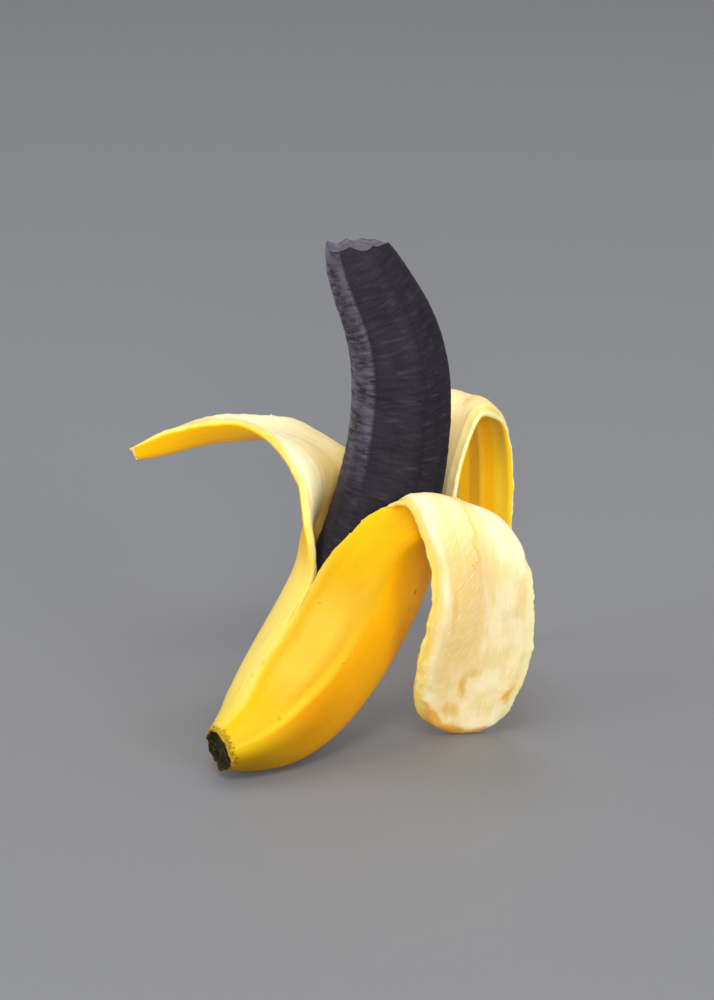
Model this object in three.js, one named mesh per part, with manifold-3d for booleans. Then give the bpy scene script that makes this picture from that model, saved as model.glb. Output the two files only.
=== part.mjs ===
// A ripe plantain, half peeled: the dark fruit stands in the closed lower half of its yellow peel,
// and the upper half of the peel is torn into three strips that fold away. It rests on three low
// places: the belly of the cup, the end of the front strip and the end of the rear strip.
// Millimetres, +Z up. The origin is on the floor under the middle of the whole.
import * as THREE from 'three';
import { mergeVertices } from 'three/addons/utils/BufferGeometryUtils.js';
import Module from 'manifold-3d';

// ---- driving dimensions ----
const PEEL = 3.6;                 // thickness of the peel
const GAP = 0.5;                  // play between the fruit and its peel
const CUP_BOTTOM = 11.6;          // distance from the blossom end to the bottom of the hollow
const FLESH_START = 12;           // distance from the blossom end to the rounded end of the fruit
const FLESH_ROUND = 20;           // length of that rounded end
const SCAR_RADIUS = 6.4;          // the dry scar at the blossom end
const SCAR_DEPTH = 1.2;
const RIDGE_HEIGHT = 0.07;        // ridges, as a share of the radius
const RIDGE_WIDTH = 20;           // degrees
const RIDGE_LEVEL = 0.45;         // mean of the ridge pattern
const RIDGES = [-38, 20, 92, 150, 236];     // degrees round the fruit, 0 faces the front
const RIDGE_TWIST = 14;           // degrees that the ridges turn over the lowest 60 mm
const STRIP_GAP = 0.05;           // how fast a tear opens, mm per mm
const BEVEL = 5;                  // width of the slope along a torn edge
const FLOOR_SLAB = 40;            // thickness of the block that trims the feet flat

// Centre line of the fruit from the blossom end up: control points of a cubic B-spline.
const CENTRE_LINE = [
  [-39, -64.3, 11.7], [-32.5, -59.7, 13], [-21.5, -48, 16.1], [-6.5, -33, 31], [9.5, -21.5, 56],
  [21.5, -15, 89], [27, -12, 122.5], [25, -11.5, 150], [15, -12, 170.5], [9.6, -12.5, 183],
  [9.2, -13, 186.5],
];

// Outside radius of the unpeeled fruit: [distance along the centre line, radius].
const RADII = [
  [0, 8.2], [5, 10.8], [12, 14], [22, 18.2], [36, 21.6], [55, 23.4], [80, 24], [110, 23.6],
  [140, 22.6], [170, 21.6], [200, 18.5], [212, 16.1], [225, 11.3],
];

// The three tears: where each starts, as [degrees round the fruit, distance along it].
const TEARS = [[-38, 66], [85, 96], [200, 90], [322, 66]];

// The bite: its plane, its dish, and the cusps that the teeth left round the rim, in degrees.
const BITE_NORMAL = new THREE.Vector3(0, 0.07, 1).normalize();
const BITE_DISH = 1.4;
const BITE_SCALLOP = 1.3;          // depth of a tooth mark that spans 50 degrees
const BITE_CUSPS = [-8, 45, 90, 136, 161, 192, 238, 272];

// Each strip: the degrees it spans, the distances at which it still lies on the fruit, the length
// over which it leaves it, the share of the thickness at its torn edges and at its end, and then the
// points that its outer skin passes through, row by row: one edge, the middle, the other edge. The
// back strip ends in the thick, dry neck of the fruit.
const STRIPS = {
  front: {
    from: -38, to: 85, onFruit: [62, 79], lead: 34, edge: 0.35, end: 1,
    rows: [
      [[5.5, -40, 82], [26.5, -43, 76], [41.5, -26, 68]],
      [[15, -41.5, 92.5], [35, -43.5, 86.5], [50, -31, 75]],
      [[22.5, -42.5, 97], [42.5, -45.5, 94.5], [58.5, -35.5, 81.5]],
      [[26, -48.5, 100], [48, -51.5, 98.2], [63.5, -42.5, 84.5]],
      [[30, -54.5, 98.5], [52, -57.5, 96.3], [66.5, -49.5, 83.2]],
      [[34.5, -60, 89], [54.5, -59.5, 87], [70.8, -54, 79]],
      [[37, -61, 77], [56, -55, 73], [73, -54, 70]],
      [[37, -57, 62], [56, -47, 56.5], [74, -49, 57]],
      [[33.8, -48, 43.5], [54.5, -37.5, 38], [74, -40.5, 39]],
      [[31.6, -36, 22.5], [51.5, -27.5, 18], [69.5, -30.5, 19.5]],
      [[35, -26.5, 9], [50.5, -21.5, 4], [65, -23, 8]],
      [[43.5, -20.5, 2.2], [50.5, -18.5, -1.5], [58, -19.5, 1.6]],
    ],
  },
  left: {
    from: -160, to: -38, onFruit: [58, 73], lead: 28, edge: 0.7, end: 1,
    rows: [
      [[6, 11, 64], [-11.4, -8, 73], [-6, -33, 73.4]],
      [[11, 14, 77], [-5.6, -3.5, 83.5], [-8.2, -24, 85.4]],
      [[12, 19.5, 89.6], [-2.4, 0, 94.5], [-10.3, -16, 95.8]],
      [[3, 22, 97.6], [-9.5, 2, 103], [-16, -12.5, 106]],
      [[-11.5, 22.5, 107], [-20.5, 2, 107.4], [-22.8, -13, 114.2]],
      [[-28.5, 19.5, 110.9], [-33, 0, 108.3], [-33, -14, 119]],
      [[-44.5, 12, 113.2], [-46, -3, 107.5], [-45, -15.5, 119]],
      [[-60, 3, 111], [-60.5, -6, 104.5], [-58, -14, 115.5]],
      [[-75, -7.5, 107], [-72.6, -9.5, 103.8], [-72.5, -12, 109]],
    ],
  },
  back: {
    from: 85, to: 200, onFruit: [80, 92], lead: 26, edge: 0.4, end: 1.7,
    rows: [
      [[44.5, -14.5, 82], [35.5, 10.5, 80.5], [14.5, 18, 85.5]],
      [[48, -6, 96], [41.5, 17.5, 96.5], [21.5, 27, 99.5]],
      [[52, 2.5, 107], [47.5, 24, 108.5], [31, 34, 109.5]],
      [[56.8, 12, 114.2], [52.5, 32, 113.5], [39.5, 42, 112.5]],
      [[62.3, 22, 111.2], [56.5, 39, 110], [46, 49, 108]],
      [[67.3, 32, 104.3], [59.5, 44, 99.5], [49.5, 56.5, 94]],
      [[70.4, 38, 87], [61, 46.5, 82], [50.5, 59.5, 77]],
      [[70.7, 41.5, 63.5], [61.5, 49.5, 59.5], [51, 61, 54]],
      [[69.4, 47.5, 39], [63, 55.5, 35], [53.5, 63.8, 31]],
      [[68.3, 56.5, 15.5], [62.5, 62.7, 12.5], [56.5, 67.7, 10.5]],
      [[66, 62.8, 1], [63, 66, -1], [60, 69, -2]],
    ],
  },
};

// ---- fineness of the mesh ----
const STRIP_COLUMNS = 10;         // across each strip, and so 30 round the cup
const STRIP_STEP = 4.2;           // row spacing along a strip
const CUP_ROWS = 22;
const HOLLOW_ROWS = 16;
const FLESH_ROWS = 36;
const CUSP_STEPS = 5;             // columns between two cusps of the bite
const SPAN_SAMPLES = 60;          // samples in each span of a spline

// ---- numbers ----
const radians = THREE.MathUtils.degToRad;
const clamp = THREE.MathUtils.clamp;
const smooth = (from, to, x) => THREE.MathUtils.smoothstep(x, from, to);
const vector = (point) => new THREE.Vector3(...point);
const range = (count) => Array.from({ length: count }, (_, i) => i);

// A smooth curve through [x, value] keys, with a slope at each from its neighbours.
function keyed(x, keys) {
  const last = keys.length - 1;
  let i = 0;
  while (i < last - 1 && x > keys[i + 1][0]) i += 1;
  const slope = (k) => {
    const [a, b] = [keys[Math.max(k - 1, 0)], keys[Math.min(k + 1, last)]];
    return (b[1] - a[1]) / (b[0] - a[0]);
  };
  const [[x0, y0], [x1, y1]] = [keys[i], keys[i + 1]];
  const h = x1 - x0;
  const t = clamp((x - x0) / h, 0, 1);
  const rise = (t ** 3 - 2 * t ** 2 + t) * slope(i) + (t ** 3 - t ** 2) * slope(i + 1);
  return y0 + (3 * t ** 2 - 2 * t ** 3) * (y1 - y0) + h * rise;
}

// A cubic B-spline through control vectors, starting on the first and ending on the last.
function splinePoint(controls, t) {
  const n = controls.length;
  const i = clamp(Math.floor(t), 0, n - 2);
  const f = t - i;
  const at = (k) => {
    if (k < 0) return controls[0].clone().multiplyScalar(2).sub(controls[1]);
    if (k >= n) return controls[n - 1].clone().multiplyScalar(2).sub(controls[n - 2]);
    return controls[k];
  };
  const weights = [(1 - f) ** 3, 3 * f ** 3 - 6 * f ** 2 + 4, -3 * f ** 3 + 3 * f ** 2 + 3 * f + 1, f ** 3];
  const point = new THREE.Vector3();
  weights.forEach((w, k) => point.addScaledVector(at(i - 1 + k), w / 6));
  return point;
}

// Control vectors of the B-spline that passes through given points: c[i-1] + 4 c[i] + c[i+1] = 6 p[i].
function controlsThrough(points) {
  const n = points.length;
  const controls = points.map((p) => p.clone());
  const share = new Array(n).fill(0);
  for (let i = 1; i < n - 1; i += 1) {
    const pivot = 4 - share[i - 1];
    share[i] = 1 / pivot;
    controls[i] = points[i].clone().multiplyScalar(6).sub(controls[i - 1]).divideScalar(pivot);
  }
  for (let i = n - 2; i > 0; i -= 1) controls[i].addScaledVector(controls[i + 1], -share[i]);
  return controls;
}

// Lengths along a polyline, starting from a given value.
function lengths(points, start = 0) {
  const along = [start];
  for (let i = 1; i < points.length; i += 1) along.push(along[i - 1] + points[i].distanceTo(points[i - 1]));
  return along;
}

// The fractional index at which a rising list reaches a value.
function indexAt(list, value) {
  let i = 0;
  while (i < list.length - 2 && list[i + 1] < value) i += 1;
  return i + (value - list[i]) / (list[i + 1] - list[i]);
}

// ---- the fruit as a tube round its centre line ----
const spans = CENTRE_LINE.length - 1;
const lineControls = CENTRE_LINE.map(vector);
const linePoints = range(spans * SPAN_SAMPLES + 1).map((k) => splinePoint(lineControls, k / SPAN_SAMPLES));
const lineLengths = lengths(linePoints);
const FRUIT_LENGTH = lineLengths.at(-1);
const FRONT = new THREE.Vector3(0, -1, 0.25);

// The point of the centre line at a distance along it, carried on straight past its end.
function linePoint(s) {
  const f = indexAt(lineLengths, s);
  const i = Math.min(Math.floor(f), linePoints.length - 2);
  return linePoints[i].clone().lerp(linePoints[i + 1], f - i);
}

// Centre, direction, front and side of the fruit at a distance along it.
function station(s) {
  const half = 0.75;
  const along = linePoint(s + half).sub(linePoint(Math.max(s - half, 0))).normalize();
  const front = FRONT.clone().addScaledVector(along, -along.dot(FRONT)).normalize();
  return { centre: linePoint(s), along, front, side: along.clone().cross(front) };
}

// Soft ridges: a bump at each ridge angle, less the mean.
function ridges(angle) {
  const bump = (ridge) => {
    const off = THREE.MathUtils.euclideanModulo(angle - ridge + 180, 360) - 180;
    return Math.exp(-((off / RIDGE_WIDTH) ** 2));
  };
  return RIDGES.reduce((sum, ridge) => sum + bump(ridge), 0) - RIDGE_LEVEL;
}

// The skin's distance from the centre line: the ridges fade and turn towards the blossom end.
const twist = (s) => RIDGE_TWIST * (1 - smooth(0, 60, s));
const radius = (s, angle) => {
  return keyed(s, RADII) * (1 + RIDGE_HEIGHT * smooth(0, 30, s) * ridges(angle + twist(s)));
};

// A point of the tube at a distance, an angle in degrees and a depth under the skin.
function tubePoint(s, angle, depth = 0, share = 1) {
  const { centre, front, side } = station(s);
  const reach = (radius(s, angle) - depth) * share;
  const a = radians(angle);
  return centre.addScaledVector(front, Math.cos(a) * reach).addScaledVector(side, Math.sin(a) * reach);
}

// The share of the radius that a rounded end has at a distance from its tip.
const roundEnd = (s, tip) => Math.sqrt(1 - (1 - clamp((s - tip) / FLESH_ROUND, 0, 1)) ** 2);

// Where the cup ends and the strips begin, at an angle: the tears' starts joined smoothly.
function tearStart(angle) {
  const a = THREE.MathUtils.euclideanModulo(angle - TEARS[0][0], 360) + TEARS[0][0];
  let i = 0;
  while (i < TEARS.length - 2 && a >= TEARS[i + 1][0]) i += 1;
  const [[a0, s0], [a1, s1]] = [TEARS[i], TEARS[i + 1]];
  return s0 + (s1 - s0) * smooth(a0, a1, a);
}

// ---- a strip ----
// The strip's skin as a function of a distance along it and a place across it from 0 to 1.
function stripSurface({ from, to, onFruit, lead, edge, end, rows }) {
  const lines = [0, 0.5, 1].map((across, k) => {
    const roots = onFruit.map((s) => tubePoint(s, from + (to - from) * across));
    return controlsThrough([...roots, ...rows.map((row) => vector(row[k]))]);
  });
  const count = (lines[1].length - 1) * SPAN_SAMPLES + 1;
  const middle = range(count).map((k) => splinePoint(lines[1], k / SPAN_SAMPLES));
  const along = lengths(middle, onFruit[0]);
  const total = along.at(-1);

  const ribs = (s) => lines.map((line) => splinePoint(line, indexAt(along, s) / SPAN_SAMPLES));
  // The free ribbon: a parabola across the strip through its two edges and its middle.
  const ribbon = (s, across) => {
    const [a, m, b] = ribs(s);
    const point = a.multiplyScalar((1 - across) * (1 - 2 * across));
    point.addScaledVector(m, 4 * across * (1 - across));
    return point.addScaledVector(b, across * (2 * across - 1));
  };
  const small = 0.02;
  const facing = (surface, s, across) => {
    const [s0, s1] = [Math.max(s - 1, onFruit[0]), Math.min(s + 1, total)];
    const [a0, a1] = [Math.max(across - small, 0), Math.min(across + small, 1)];
    const up = surface(s1, across).sub(surface(s0, across));
    const round = surface(s, a1).sub(surface(s, a0));
    return round.cross(up).normalize();
  };
  // The skin: the fruit's own tube up to the tear, turning into the ribbon over the lead.
  const skin = (s, across) => {
    const angle = from + (to - from) * across;
    const free = s - tearStart(angle);
    const fade = 0.8 * RIDGE_HEIGHT * (1 - smooth(total - 60, total, s));
    const relief = keyed(Math.min(s, RADII.at(-1)[0]), RADII) * fade * ridges(angle);
    const loose = ribbon(s, across).addScaledVector(facing(ribbon, s, across), relief);
    const opening = THREE.MathUtils.radToDeg(clamp(free, 0, 20) * STRIP_GAP / 24) * (1 - 2 * across);
    const tight = tubePoint(Math.min(s, FRUIT_LENGTH), angle + opening);
    return tight.lerp(loose, smooth(0, lead, free));
  };
  // The pith: the skin moved in by the thickness, which slopes away to the torn edges.
  const thickness = (s, across) => {
    const [a, m, b] = ribs(s);
    const margin = Math.min(across, 1 - across) * (a.distanceTo(m) + m.distanceTo(b));
    const torn = smooth(0, 16, s - tearStart(from + (to - from) * across));
    const neck = 1 + (end - 1) * smooth(total - 24, total - 8, s);
    return PEEL * neck * (1 - (1 - edge) * (1 - smooth(0, BEVEL, margin)) * torn);
  };
  const inside = (s, across) => {
    return skin(s, across).addScaledVector(facing(skin, s, across), -thickness(s, across));
  };
  return { skin, inside, total, angleAt: (across) => from + (to - from) * across };
}

// ---- meshes ----
// A list of vertices and triangles that is filled face by face.
class Shell {
  points = [];
  triangles = [];
  add(point) { return this.points.push(point) - 1; }
  row(count, place) { return range(count).map((c) => this.add(place(c))); }
  quad(a, b, c, d) { this.triangles.push([a, b, c], [a, c, d]); }
  // Quads between two rows of vertices, facing away from the side where the rows turn clockwise.
  band(low, high, closed = false) {
    const last = closed ? low.length : low.length - 1;
    for (let c = 0; c < last; c += 1) {
      const next = (c + 1) % low.length;
      this.quad(low[c], low[next], high[next], high[c]);
    }
  }
  fan(rim, tip) { rim.forEach((v, c) => this.triangles.push([v, rim[(c + 1) % rim.length], tip])); }
  geometry() {
    const geometry = new THREE.BufferGeometry();
    const flat = this.points.flatMap((p) => [p.x, p.y, p.z]);
    geometry.setAttribute('position', new THREE.Float32BufferAttribute(flat, 3));
    geometry.setIndex(this.triangles.flat());
    return geometry;
  }
}

// The peel: the cup from the scar to the tears, then the three strips, as one closed skin.
function peelGeometry() {
  const shell = new Shell();
  const strips = Object.values(STRIPS).sort((a, b) => a.from - b.from);
  const columns = strips.length * STRIP_COLUMNS;
  const angleOf = (c) => {
    const strip = strips[Math.floor(c / STRIP_COLUMNS)];
    return strip.from + (strip.to - strip.from) * ((c % STRIP_COLUMNS) / STRIP_COLUMNS);
  };
  // Outside of the cup, from the blossom end up to the tears.
  const outer = range(CUP_ROWS + 1).map((k) => {
    const share = k / CUP_ROWS;
    return shell.row(columns, (c) => tubePoint(tearStart(angleOf(c)) * share, angleOf(c)));
  });
  // The hollow, from its rounded bottom up to the tears.
  const inner = range(HOLLOW_ROWS).map((k) => {
    const share = ((k + 1) / HOLLOW_ROWS) ** 1.5;
    return shell.row(columns, (c) => {
      const s = CUP_BOTTOM + (tearStart(angleOf(c)) - CUP_BOTTOM) * share;
      return tubePoint(s, angleOf(c), PEEL, roundEnd(s, CUP_BOTTOM));
    });
  });
  for (let k = 0; k < CUP_ROWS; k += 1) shell.band(outer[k], outer[k + 1], true);
  for (let k = 0; k < HOLLOW_ROWS - 1; k += 1) shell.band(inner[k + 1], inner[k], true);
  const bottom = shell.add(linePoint(CUP_BOTTOM));
  shell.fan(inner[0], bottom);
  // The scar: a shallow pit in the blossom end.
  const start = station(0);
  const pit = (c, reach, depth) => {
    const a = radians(angleOf(c));
    const point = linePoint(0).addScaledVector(start.along, depth);
    return point.addScaledVector(start.front, Math.cos(a) * reach).addScaledVector(start.side, Math.sin(a) * reach);
  };
  const rim = shell.row(columns, (c) => pit(c, SCAR_RADIUS, 0));
  const floor = shell.row(columns, (c) => pit(c, SCAR_RADIUS * 0.7, SCAR_DEPTH));
  shell.band(rim, outer[0], true);
  shell.band(floor, rim, true);
  const middle = shell.add(pit(0, 0, SCAR_DEPTH * 0.5));
  shell.fan([...floor].reverse(), middle);
  // The strips, from their roots on the cup's last rows to their ends.
  strips.forEach((strip, index) => {
    const { skin, inside, total, angleAt } = stripSurface(strip);
    const rootOf = (rows, c) => rows.at(-1)[(index * STRIP_COLUMNS + c) % columns];
    let skinRow = range(STRIP_COLUMNS + 1).map((c) => rootOf(outer, c));
    let insideRow = range(STRIP_COLUMNS + 1).map((c) => rootOf(inner, c));
    const meanStart = (tearStart(strip.from) + tearStart(strip.to)) / 2;
    const rowCount = Math.round((total - meanStart) / STRIP_STEP);
    for (let k = 1; k <= rowCount; k += 1) {
      const place = (surface) => (c) => {
        const across = c / STRIP_COLUMNS;
        const root = tearStart(angleAt(across) - (c === STRIP_COLUMNS ? 1e-6 : 0));
        return surface(root + (total - root) * (k / rowCount), across);
      };
      const nextSkin = shell.row(STRIP_COLUMNS + 1, place(skin));
      const nextInside = shell.row(STRIP_COLUMNS + 1, place(inside));
      shell.band(skinRow, nextSkin);
      shell.band(nextInside, insideRow);
      shell.quad(skinRow[0], nextSkin[0], nextInside[0], insideRow[0]);
      shell.quad(nextSkin.at(-1), skinRow.at(-1), insideRow.at(-1), nextInside.at(-1));
      [skinRow, insideRow] = [nextSkin, nextInside];
    }
    shell.band(skinRow, insideRow);
  });
  return shell.geometry();
}

// The fruit: a rounded lower end, the curved body, and the bitten top with its scalloped rim.
function fleshGeometry() {
  const shell = new Shell();
  const depth = PEEL + GAP;
  const cusps = BITE_CUSPS.length;
  const columns = cusps * CUSP_STEPS;
  const cuspAt = (i) => BITE_CUSPS[i % cusps] + 360 * Math.floor(i / cusps);
  const angleOf = (c) => {
    const i = Math.floor(c / CUSP_STEPS);
    return cuspAt(i) + (cuspAt(i + 1) - cuspAt(i)) * ((c % CUSP_STEPS) / CUSP_STEPS);
  };
  const scallop = (c) => {
    const i = Math.floor(c / CUSP_STEPS);
    const depth = BITE_SCALLOP * (cuspAt(i + 1) - cuspAt(i)) / 50;
    return depth * Math.sin(Math.PI * (c % CUSP_STEPS) / CUSP_STEPS);
  };
  const top = linePoint(FRUIT_LENGTH);
  // The distance at which the skin of the fruit meets the plane of the bite, by repeated steps.
  const meetsBite = (angle) => {
    let s = FRUIT_LENGTH;
    for (let k = 0; k < 14; k += 1) s -= 0.8 * tubePoint(s, angle, depth).sub(top).dot(BITE_NORMAL);
    return s;
  };
  const ends = range(columns).map((c) => meetsBite(angleOf(c)) - scallop(c));
  const rows = range(FLESH_ROWS).map((k) => {
    const share = ((k + 1) / FLESH_ROWS) ** 1.15;
    return shell.row(columns, (c) => {
      const s = FLESH_START + (ends[c] - FLESH_START) * share;
      return tubePoint(s, angleOf(c), depth, roundEnd(s, FLESH_START));
    });
  });
  for (let k = 0; k < FLESH_ROWS - 1; k += 1) shell.band(rows[k], rows[k + 1], true);
  shell.fan([...rows[0]].reverse(), shell.add(linePoint(FLESH_START)));
  // The bitten face: rings that sink to the middle, with the tooth marks fading inwards.
  const rimPoints = rows.at(-1).map((v) => shell.points[v]);
  const hub = rimPoints.reduce((sum, p) => sum.add(p), new THREE.Vector3()).divideScalar(columns);
  hub.addScaledVector(BITE_NORMAL, -BITE_DISH);
  let ring = rows.at(-1);
  for (const share of [0.72, 0.4]) {
    const next = shell.row(columns, (c) => {
      const flat = hub.clone().lerp(rimPoints[c], share);
      return flat.addScaledVector(BITE_NORMAL, -BITE_DISH * share * (1 - share));
    });
    shell.band(ring, next, true);
    ring = next;
  }
  shell.fan(ring, shell.add(hub));
  return shell.geometry();
}

// ---- trimming the feet flat ----
const wasm = await Module();
wasm.setup();

function solidOf(geometry) {
  const bare = geometry.clone();
  bare.deleteAttribute('normal');
  bare.deleteAttribute('uv');
  const merged = mergeVertices(bare, 1e-4);
  const vertProperties = new Float32Array(merged.attributes.position.array);
  const triVerts = new Uint32Array(merged.index.array);
  return new wasm.Manifold(new wasm.Mesh({ numProp: 3, vertProperties, triVerts }));
}

function geometryOf(solid) {
  const mesh = solid.getMesh();
  const geometry = new THREE.BufferGeometry();
  geometry.setAttribute('position', new THREE.Float32BufferAttribute(mesh.vertProperties, 3));
  geometry.setIndex(Array.from(mesh.triVerts));
  return geometry;
}

// What reaches below the floor is taken off, so that the belly and two strip ends rest flat.
function trimToFloor(geometry) {
  const slab = new THREE.BoxGeometry(400, 400, FLOOR_SLAB).translate(0, 0, -FLOOR_SLAB / 2);
  return geometryOf(solidOf(geometry).subtract(solidOf(slab)));
}

// ---- the object ----
function part(name, geometry, color, roughness) {
  const material = new THREE.MeshStandardMaterial({ color, roughness, metalness: 0 });
  const mesh = new THREE.Mesh(geometry, material);
  mesh.name = name;
  return mesh;
}

const plantain = new THREE.Group();
plantain.add(part('peel', trimToFloor(peelGeometry()), 0xf2c21e, 0.45));
plantain.add(part('flesh', fleshGeometry(), 0x332e38, 0.7));

export default plantain;
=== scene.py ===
# %% [markdown]
# # A half-peeled plantain
# A ripe plantain stands on its blossom end. The lower half of the peel is still closed, like a cup.
# The upper half is torn into three strips, which fold away and hold the fruit up. The bare flesh is
# dark violet-grey, and its top has been bitten flat.
#
# Both pieces come from one idea: a tube round a curved centre line. The packed model holds the same
# tube with few faces. Here it is drawn again with many, and gets the small things: ripples, ragged
# tears, fibres and finishes. Loading the packed model first gives the frame that everything shares.

# %% Load the packed model
import bpy
import numpy as np
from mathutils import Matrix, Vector


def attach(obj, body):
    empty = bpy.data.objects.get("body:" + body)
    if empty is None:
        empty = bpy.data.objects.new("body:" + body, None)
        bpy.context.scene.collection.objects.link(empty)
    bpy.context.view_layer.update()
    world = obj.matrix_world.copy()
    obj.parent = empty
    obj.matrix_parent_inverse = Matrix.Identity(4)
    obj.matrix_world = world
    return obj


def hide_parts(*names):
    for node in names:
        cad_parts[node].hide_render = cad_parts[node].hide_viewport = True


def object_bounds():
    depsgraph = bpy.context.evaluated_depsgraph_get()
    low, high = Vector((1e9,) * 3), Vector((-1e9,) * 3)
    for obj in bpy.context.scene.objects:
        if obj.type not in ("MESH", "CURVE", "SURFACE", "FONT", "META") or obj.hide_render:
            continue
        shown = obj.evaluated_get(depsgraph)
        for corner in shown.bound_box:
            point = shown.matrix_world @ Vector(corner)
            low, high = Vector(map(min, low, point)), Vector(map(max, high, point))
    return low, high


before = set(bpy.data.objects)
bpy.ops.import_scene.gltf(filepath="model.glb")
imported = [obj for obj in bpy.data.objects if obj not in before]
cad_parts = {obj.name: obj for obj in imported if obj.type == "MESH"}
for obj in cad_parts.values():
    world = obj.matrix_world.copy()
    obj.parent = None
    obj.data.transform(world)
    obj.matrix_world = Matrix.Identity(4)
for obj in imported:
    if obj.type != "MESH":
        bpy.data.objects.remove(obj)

cad_box = [list(corner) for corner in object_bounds()]
print("CAD box, m:", cad_box)

# %% [markdown]
# ## The sizes of the fruit
# A plantain bends, swells and narrows along its length. It could be modelled by hand, but a few
# numbers say the same and can be read again. Sizes are in millimetres and become metres only when a
# mesh is made. The centre line runs from the blossom end to the bite. Angles go round the fruit in
# degrees: 0 faces the front, and they grow towards +X. A tear starts where the cup ends, and between
# two tears the cup's rim runs smoothly. A radius is given at a distance, and a tear at an angle.

# %% Sizes of the fruit
PEEL = 3.6
PLAY = 0.5
CUP_BOTTOM = 11.6
FLESH_START = 12.0
FLESH_ROUND = 20.0
SCAR_RADIUS = 6.4
RIDGE_HEIGHT, RIDGE_WIDTH, RIDGE_LEVEL = 0.07, 20.0, 0.45
RIDGES = [-38, 20, 92, 150, 236]
RIDGE_TWIST = 14.0
CENTRE_LINE = [
    [-39, -64.3, 11.7], [-32.5, -59.7, 13], [-21.5, -48, 16.1], [-6.5, -33, 31], [9.5, -21.5, 56],
    [21.5, -15, 89], [27, -12, 122.5], [25, -11.5, 150], [15, -12, 170.5], [9.6, -12.5, 183],
    [9.2, -13, 186.5],
]
RADII = [
    (0, 8.2), (5, 10.8), (12, 14), (22, 18.2), (36, 21.6), (55, 23.4), (80, 24), (110, 23.6),
    (140, 22.6), (170, 21.6), (200, 18.5), (212, 16.1), (225, 11.3),
]
TEARS = [(-38, 66), (85, 96), (200, 90), (322, 66)]
print("the peel is", PEEL, "mm thick and torn at", [angle for angle, _ in TEARS[:3]], "degrees")

# %% [markdown]
# ## Helpers for smooth numbers
# Three kinds of smooth change do all the work. Smoothstep eases from 0 to 1. A keyed curve passes
# through chosen values, like a loft through its sections. A B-spline gives a line without kinks. Each
# takes whole numpy arrays, so that one call shapes thousands of points at once.

# %% Smooth steps, keyed curves and splines
def smooth(low, high, x):
    """Ease from 0 at low to 1 at high: 3 t squared minus 2 t cubed."""
    t = np.clip((x - low) / (high - low), 0, 1)
    return t * t * (3 - 2 * t)


def unit(v):
    """Each vector divided by its own length."""
    return v / np.linalg.norm(v, axis=-1, keepdims=True)


def keyed(x, keys):
    """A cubic between neighbouring keys: a key's slope is that of the line from the key before it to
    the key after it."""
    xs, ys = np.array(keys, float).T
    last = len(xs) - 1
    before, after = np.maximum(np.arange(last + 1) - 1, 0), np.minimum(np.arange(last + 1) + 1, last)
    slopes = (ys[after] - ys[before]) / (xs[after] - xs[before])
    i = np.clip(np.searchsorted(xs, x) - 1, 0, last - 1)
    h = xs[i + 1] - xs[i]
    t = np.clip((x - xs[i]) / h, 0, 1)
    bend = (t**3 - 2 * t**2 + t) * slopes[i] + (t**3 - t**2) * slopes[i + 1]
    return ys[i] + (3 * t**2 - 2 * t**3) * (ys[i + 1] - ys[i]) + h * bend


def spline(controls, t):
    """A cubic B-spline: four neighbouring controls, weighted by the cubics of the part of a span."""
    controls = np.array(controls, float)
    padded = np.vstack([2 * controls[0] - controls[1], controls, 2 * controls[-1] - controls[-2]])
    i = np.clip(np.floor(t).astype(int), 0, len(controls) - 2)
    f = (t - i)[..., None]
    cubics = (1 - f) ** 3, 3 * f**3 - 6 * f**2 + 4, -3 * f**3 + 3 * f**2 + 3 * f + 1, f**3
    return sum(w * padded[i + k] for k, w in enumerate(cubics)) / 6


def fine_steps(controls):
    """The places t along a spline, sixty to each of its spans."""
    spans = len(controls) - 1
    return np.linspace(0, spans, 60 * spans + 1)


def controls_through(points):
    """Controls whose B-spline passes through the points: c before + 4 c + c after = 6 p, solved."""
    system = np.eye(len(points))
    inner = np.arange(1, len(points) - 1)
    system[inner, inner] = 4 / 6
    system[inner, inner - 1] = system[inner, inner + 1] = 1 / 6
    return np.linalg.solve(system, np.array(points, float))


def lengths(points):
    """How far along a polyline each of its points lies."""
    return np.concatenate([[0], np.cumsum(np.linalg.norm(np.diff(points, axis=0), axis=1))])


print("half way up a step is", float(smooth(0, 1, 0.5)))

# %% [markdown]
# Nothing on a fruit is quite even. A table of seeded random numbers, blended smoothly between its
# cells, gives gentle hills. Scaled one way they are ripples across the flesh, scaled another way they
# are the wander of a torn edge.

# %% Gentle random hills
CELLS = 256


def hills(x, y=0.0, seed=0, wrap=CELLS):
    """Random heights from -1 to 1 on whole numbers, blended by smoothstep; x repeats after wrap."""
    table = np.random.default_rng(seed).uniform(-1, 1, (CELLS, CELLS))
    x, y = np.broadcast_arrays(np.asarray(x, float), np.asarray(y, float))
    i, j = np.floor(x).astype(int), np.floor(y).astype(int)
    u, v = smooth(0, 1, x - i), smooth(0, 1, y - j)
    i0, i1, j0, j1 = i % wrap, (i + 1) % wrap, j % CELLS, (j + 1) % CELLS
    low = table[i0, j0] * (1 - u) + table[i1, j0] * u
    high = table[i0, j1] * (1 - u) + table[i1, j1] * u
    return low * (1 - v) + high * v


print("three heights:", hills(np.array([0.2, 1.7, 3.1])).round(2))

# %% [markdown]
# ## The fruit as a tube
# At each distance along the centre line stands a frame: the direction of growth, the front, and the
# side. A point of the skin is the centre, plus the radius towards an angle in that frame. Five soft
# ridges make the cross-section a rounded pentagon, as a plantain's is. A sculpted body would look as
# good, but only a formula lets peel, flesh and strings be asked for the very same place.

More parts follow.
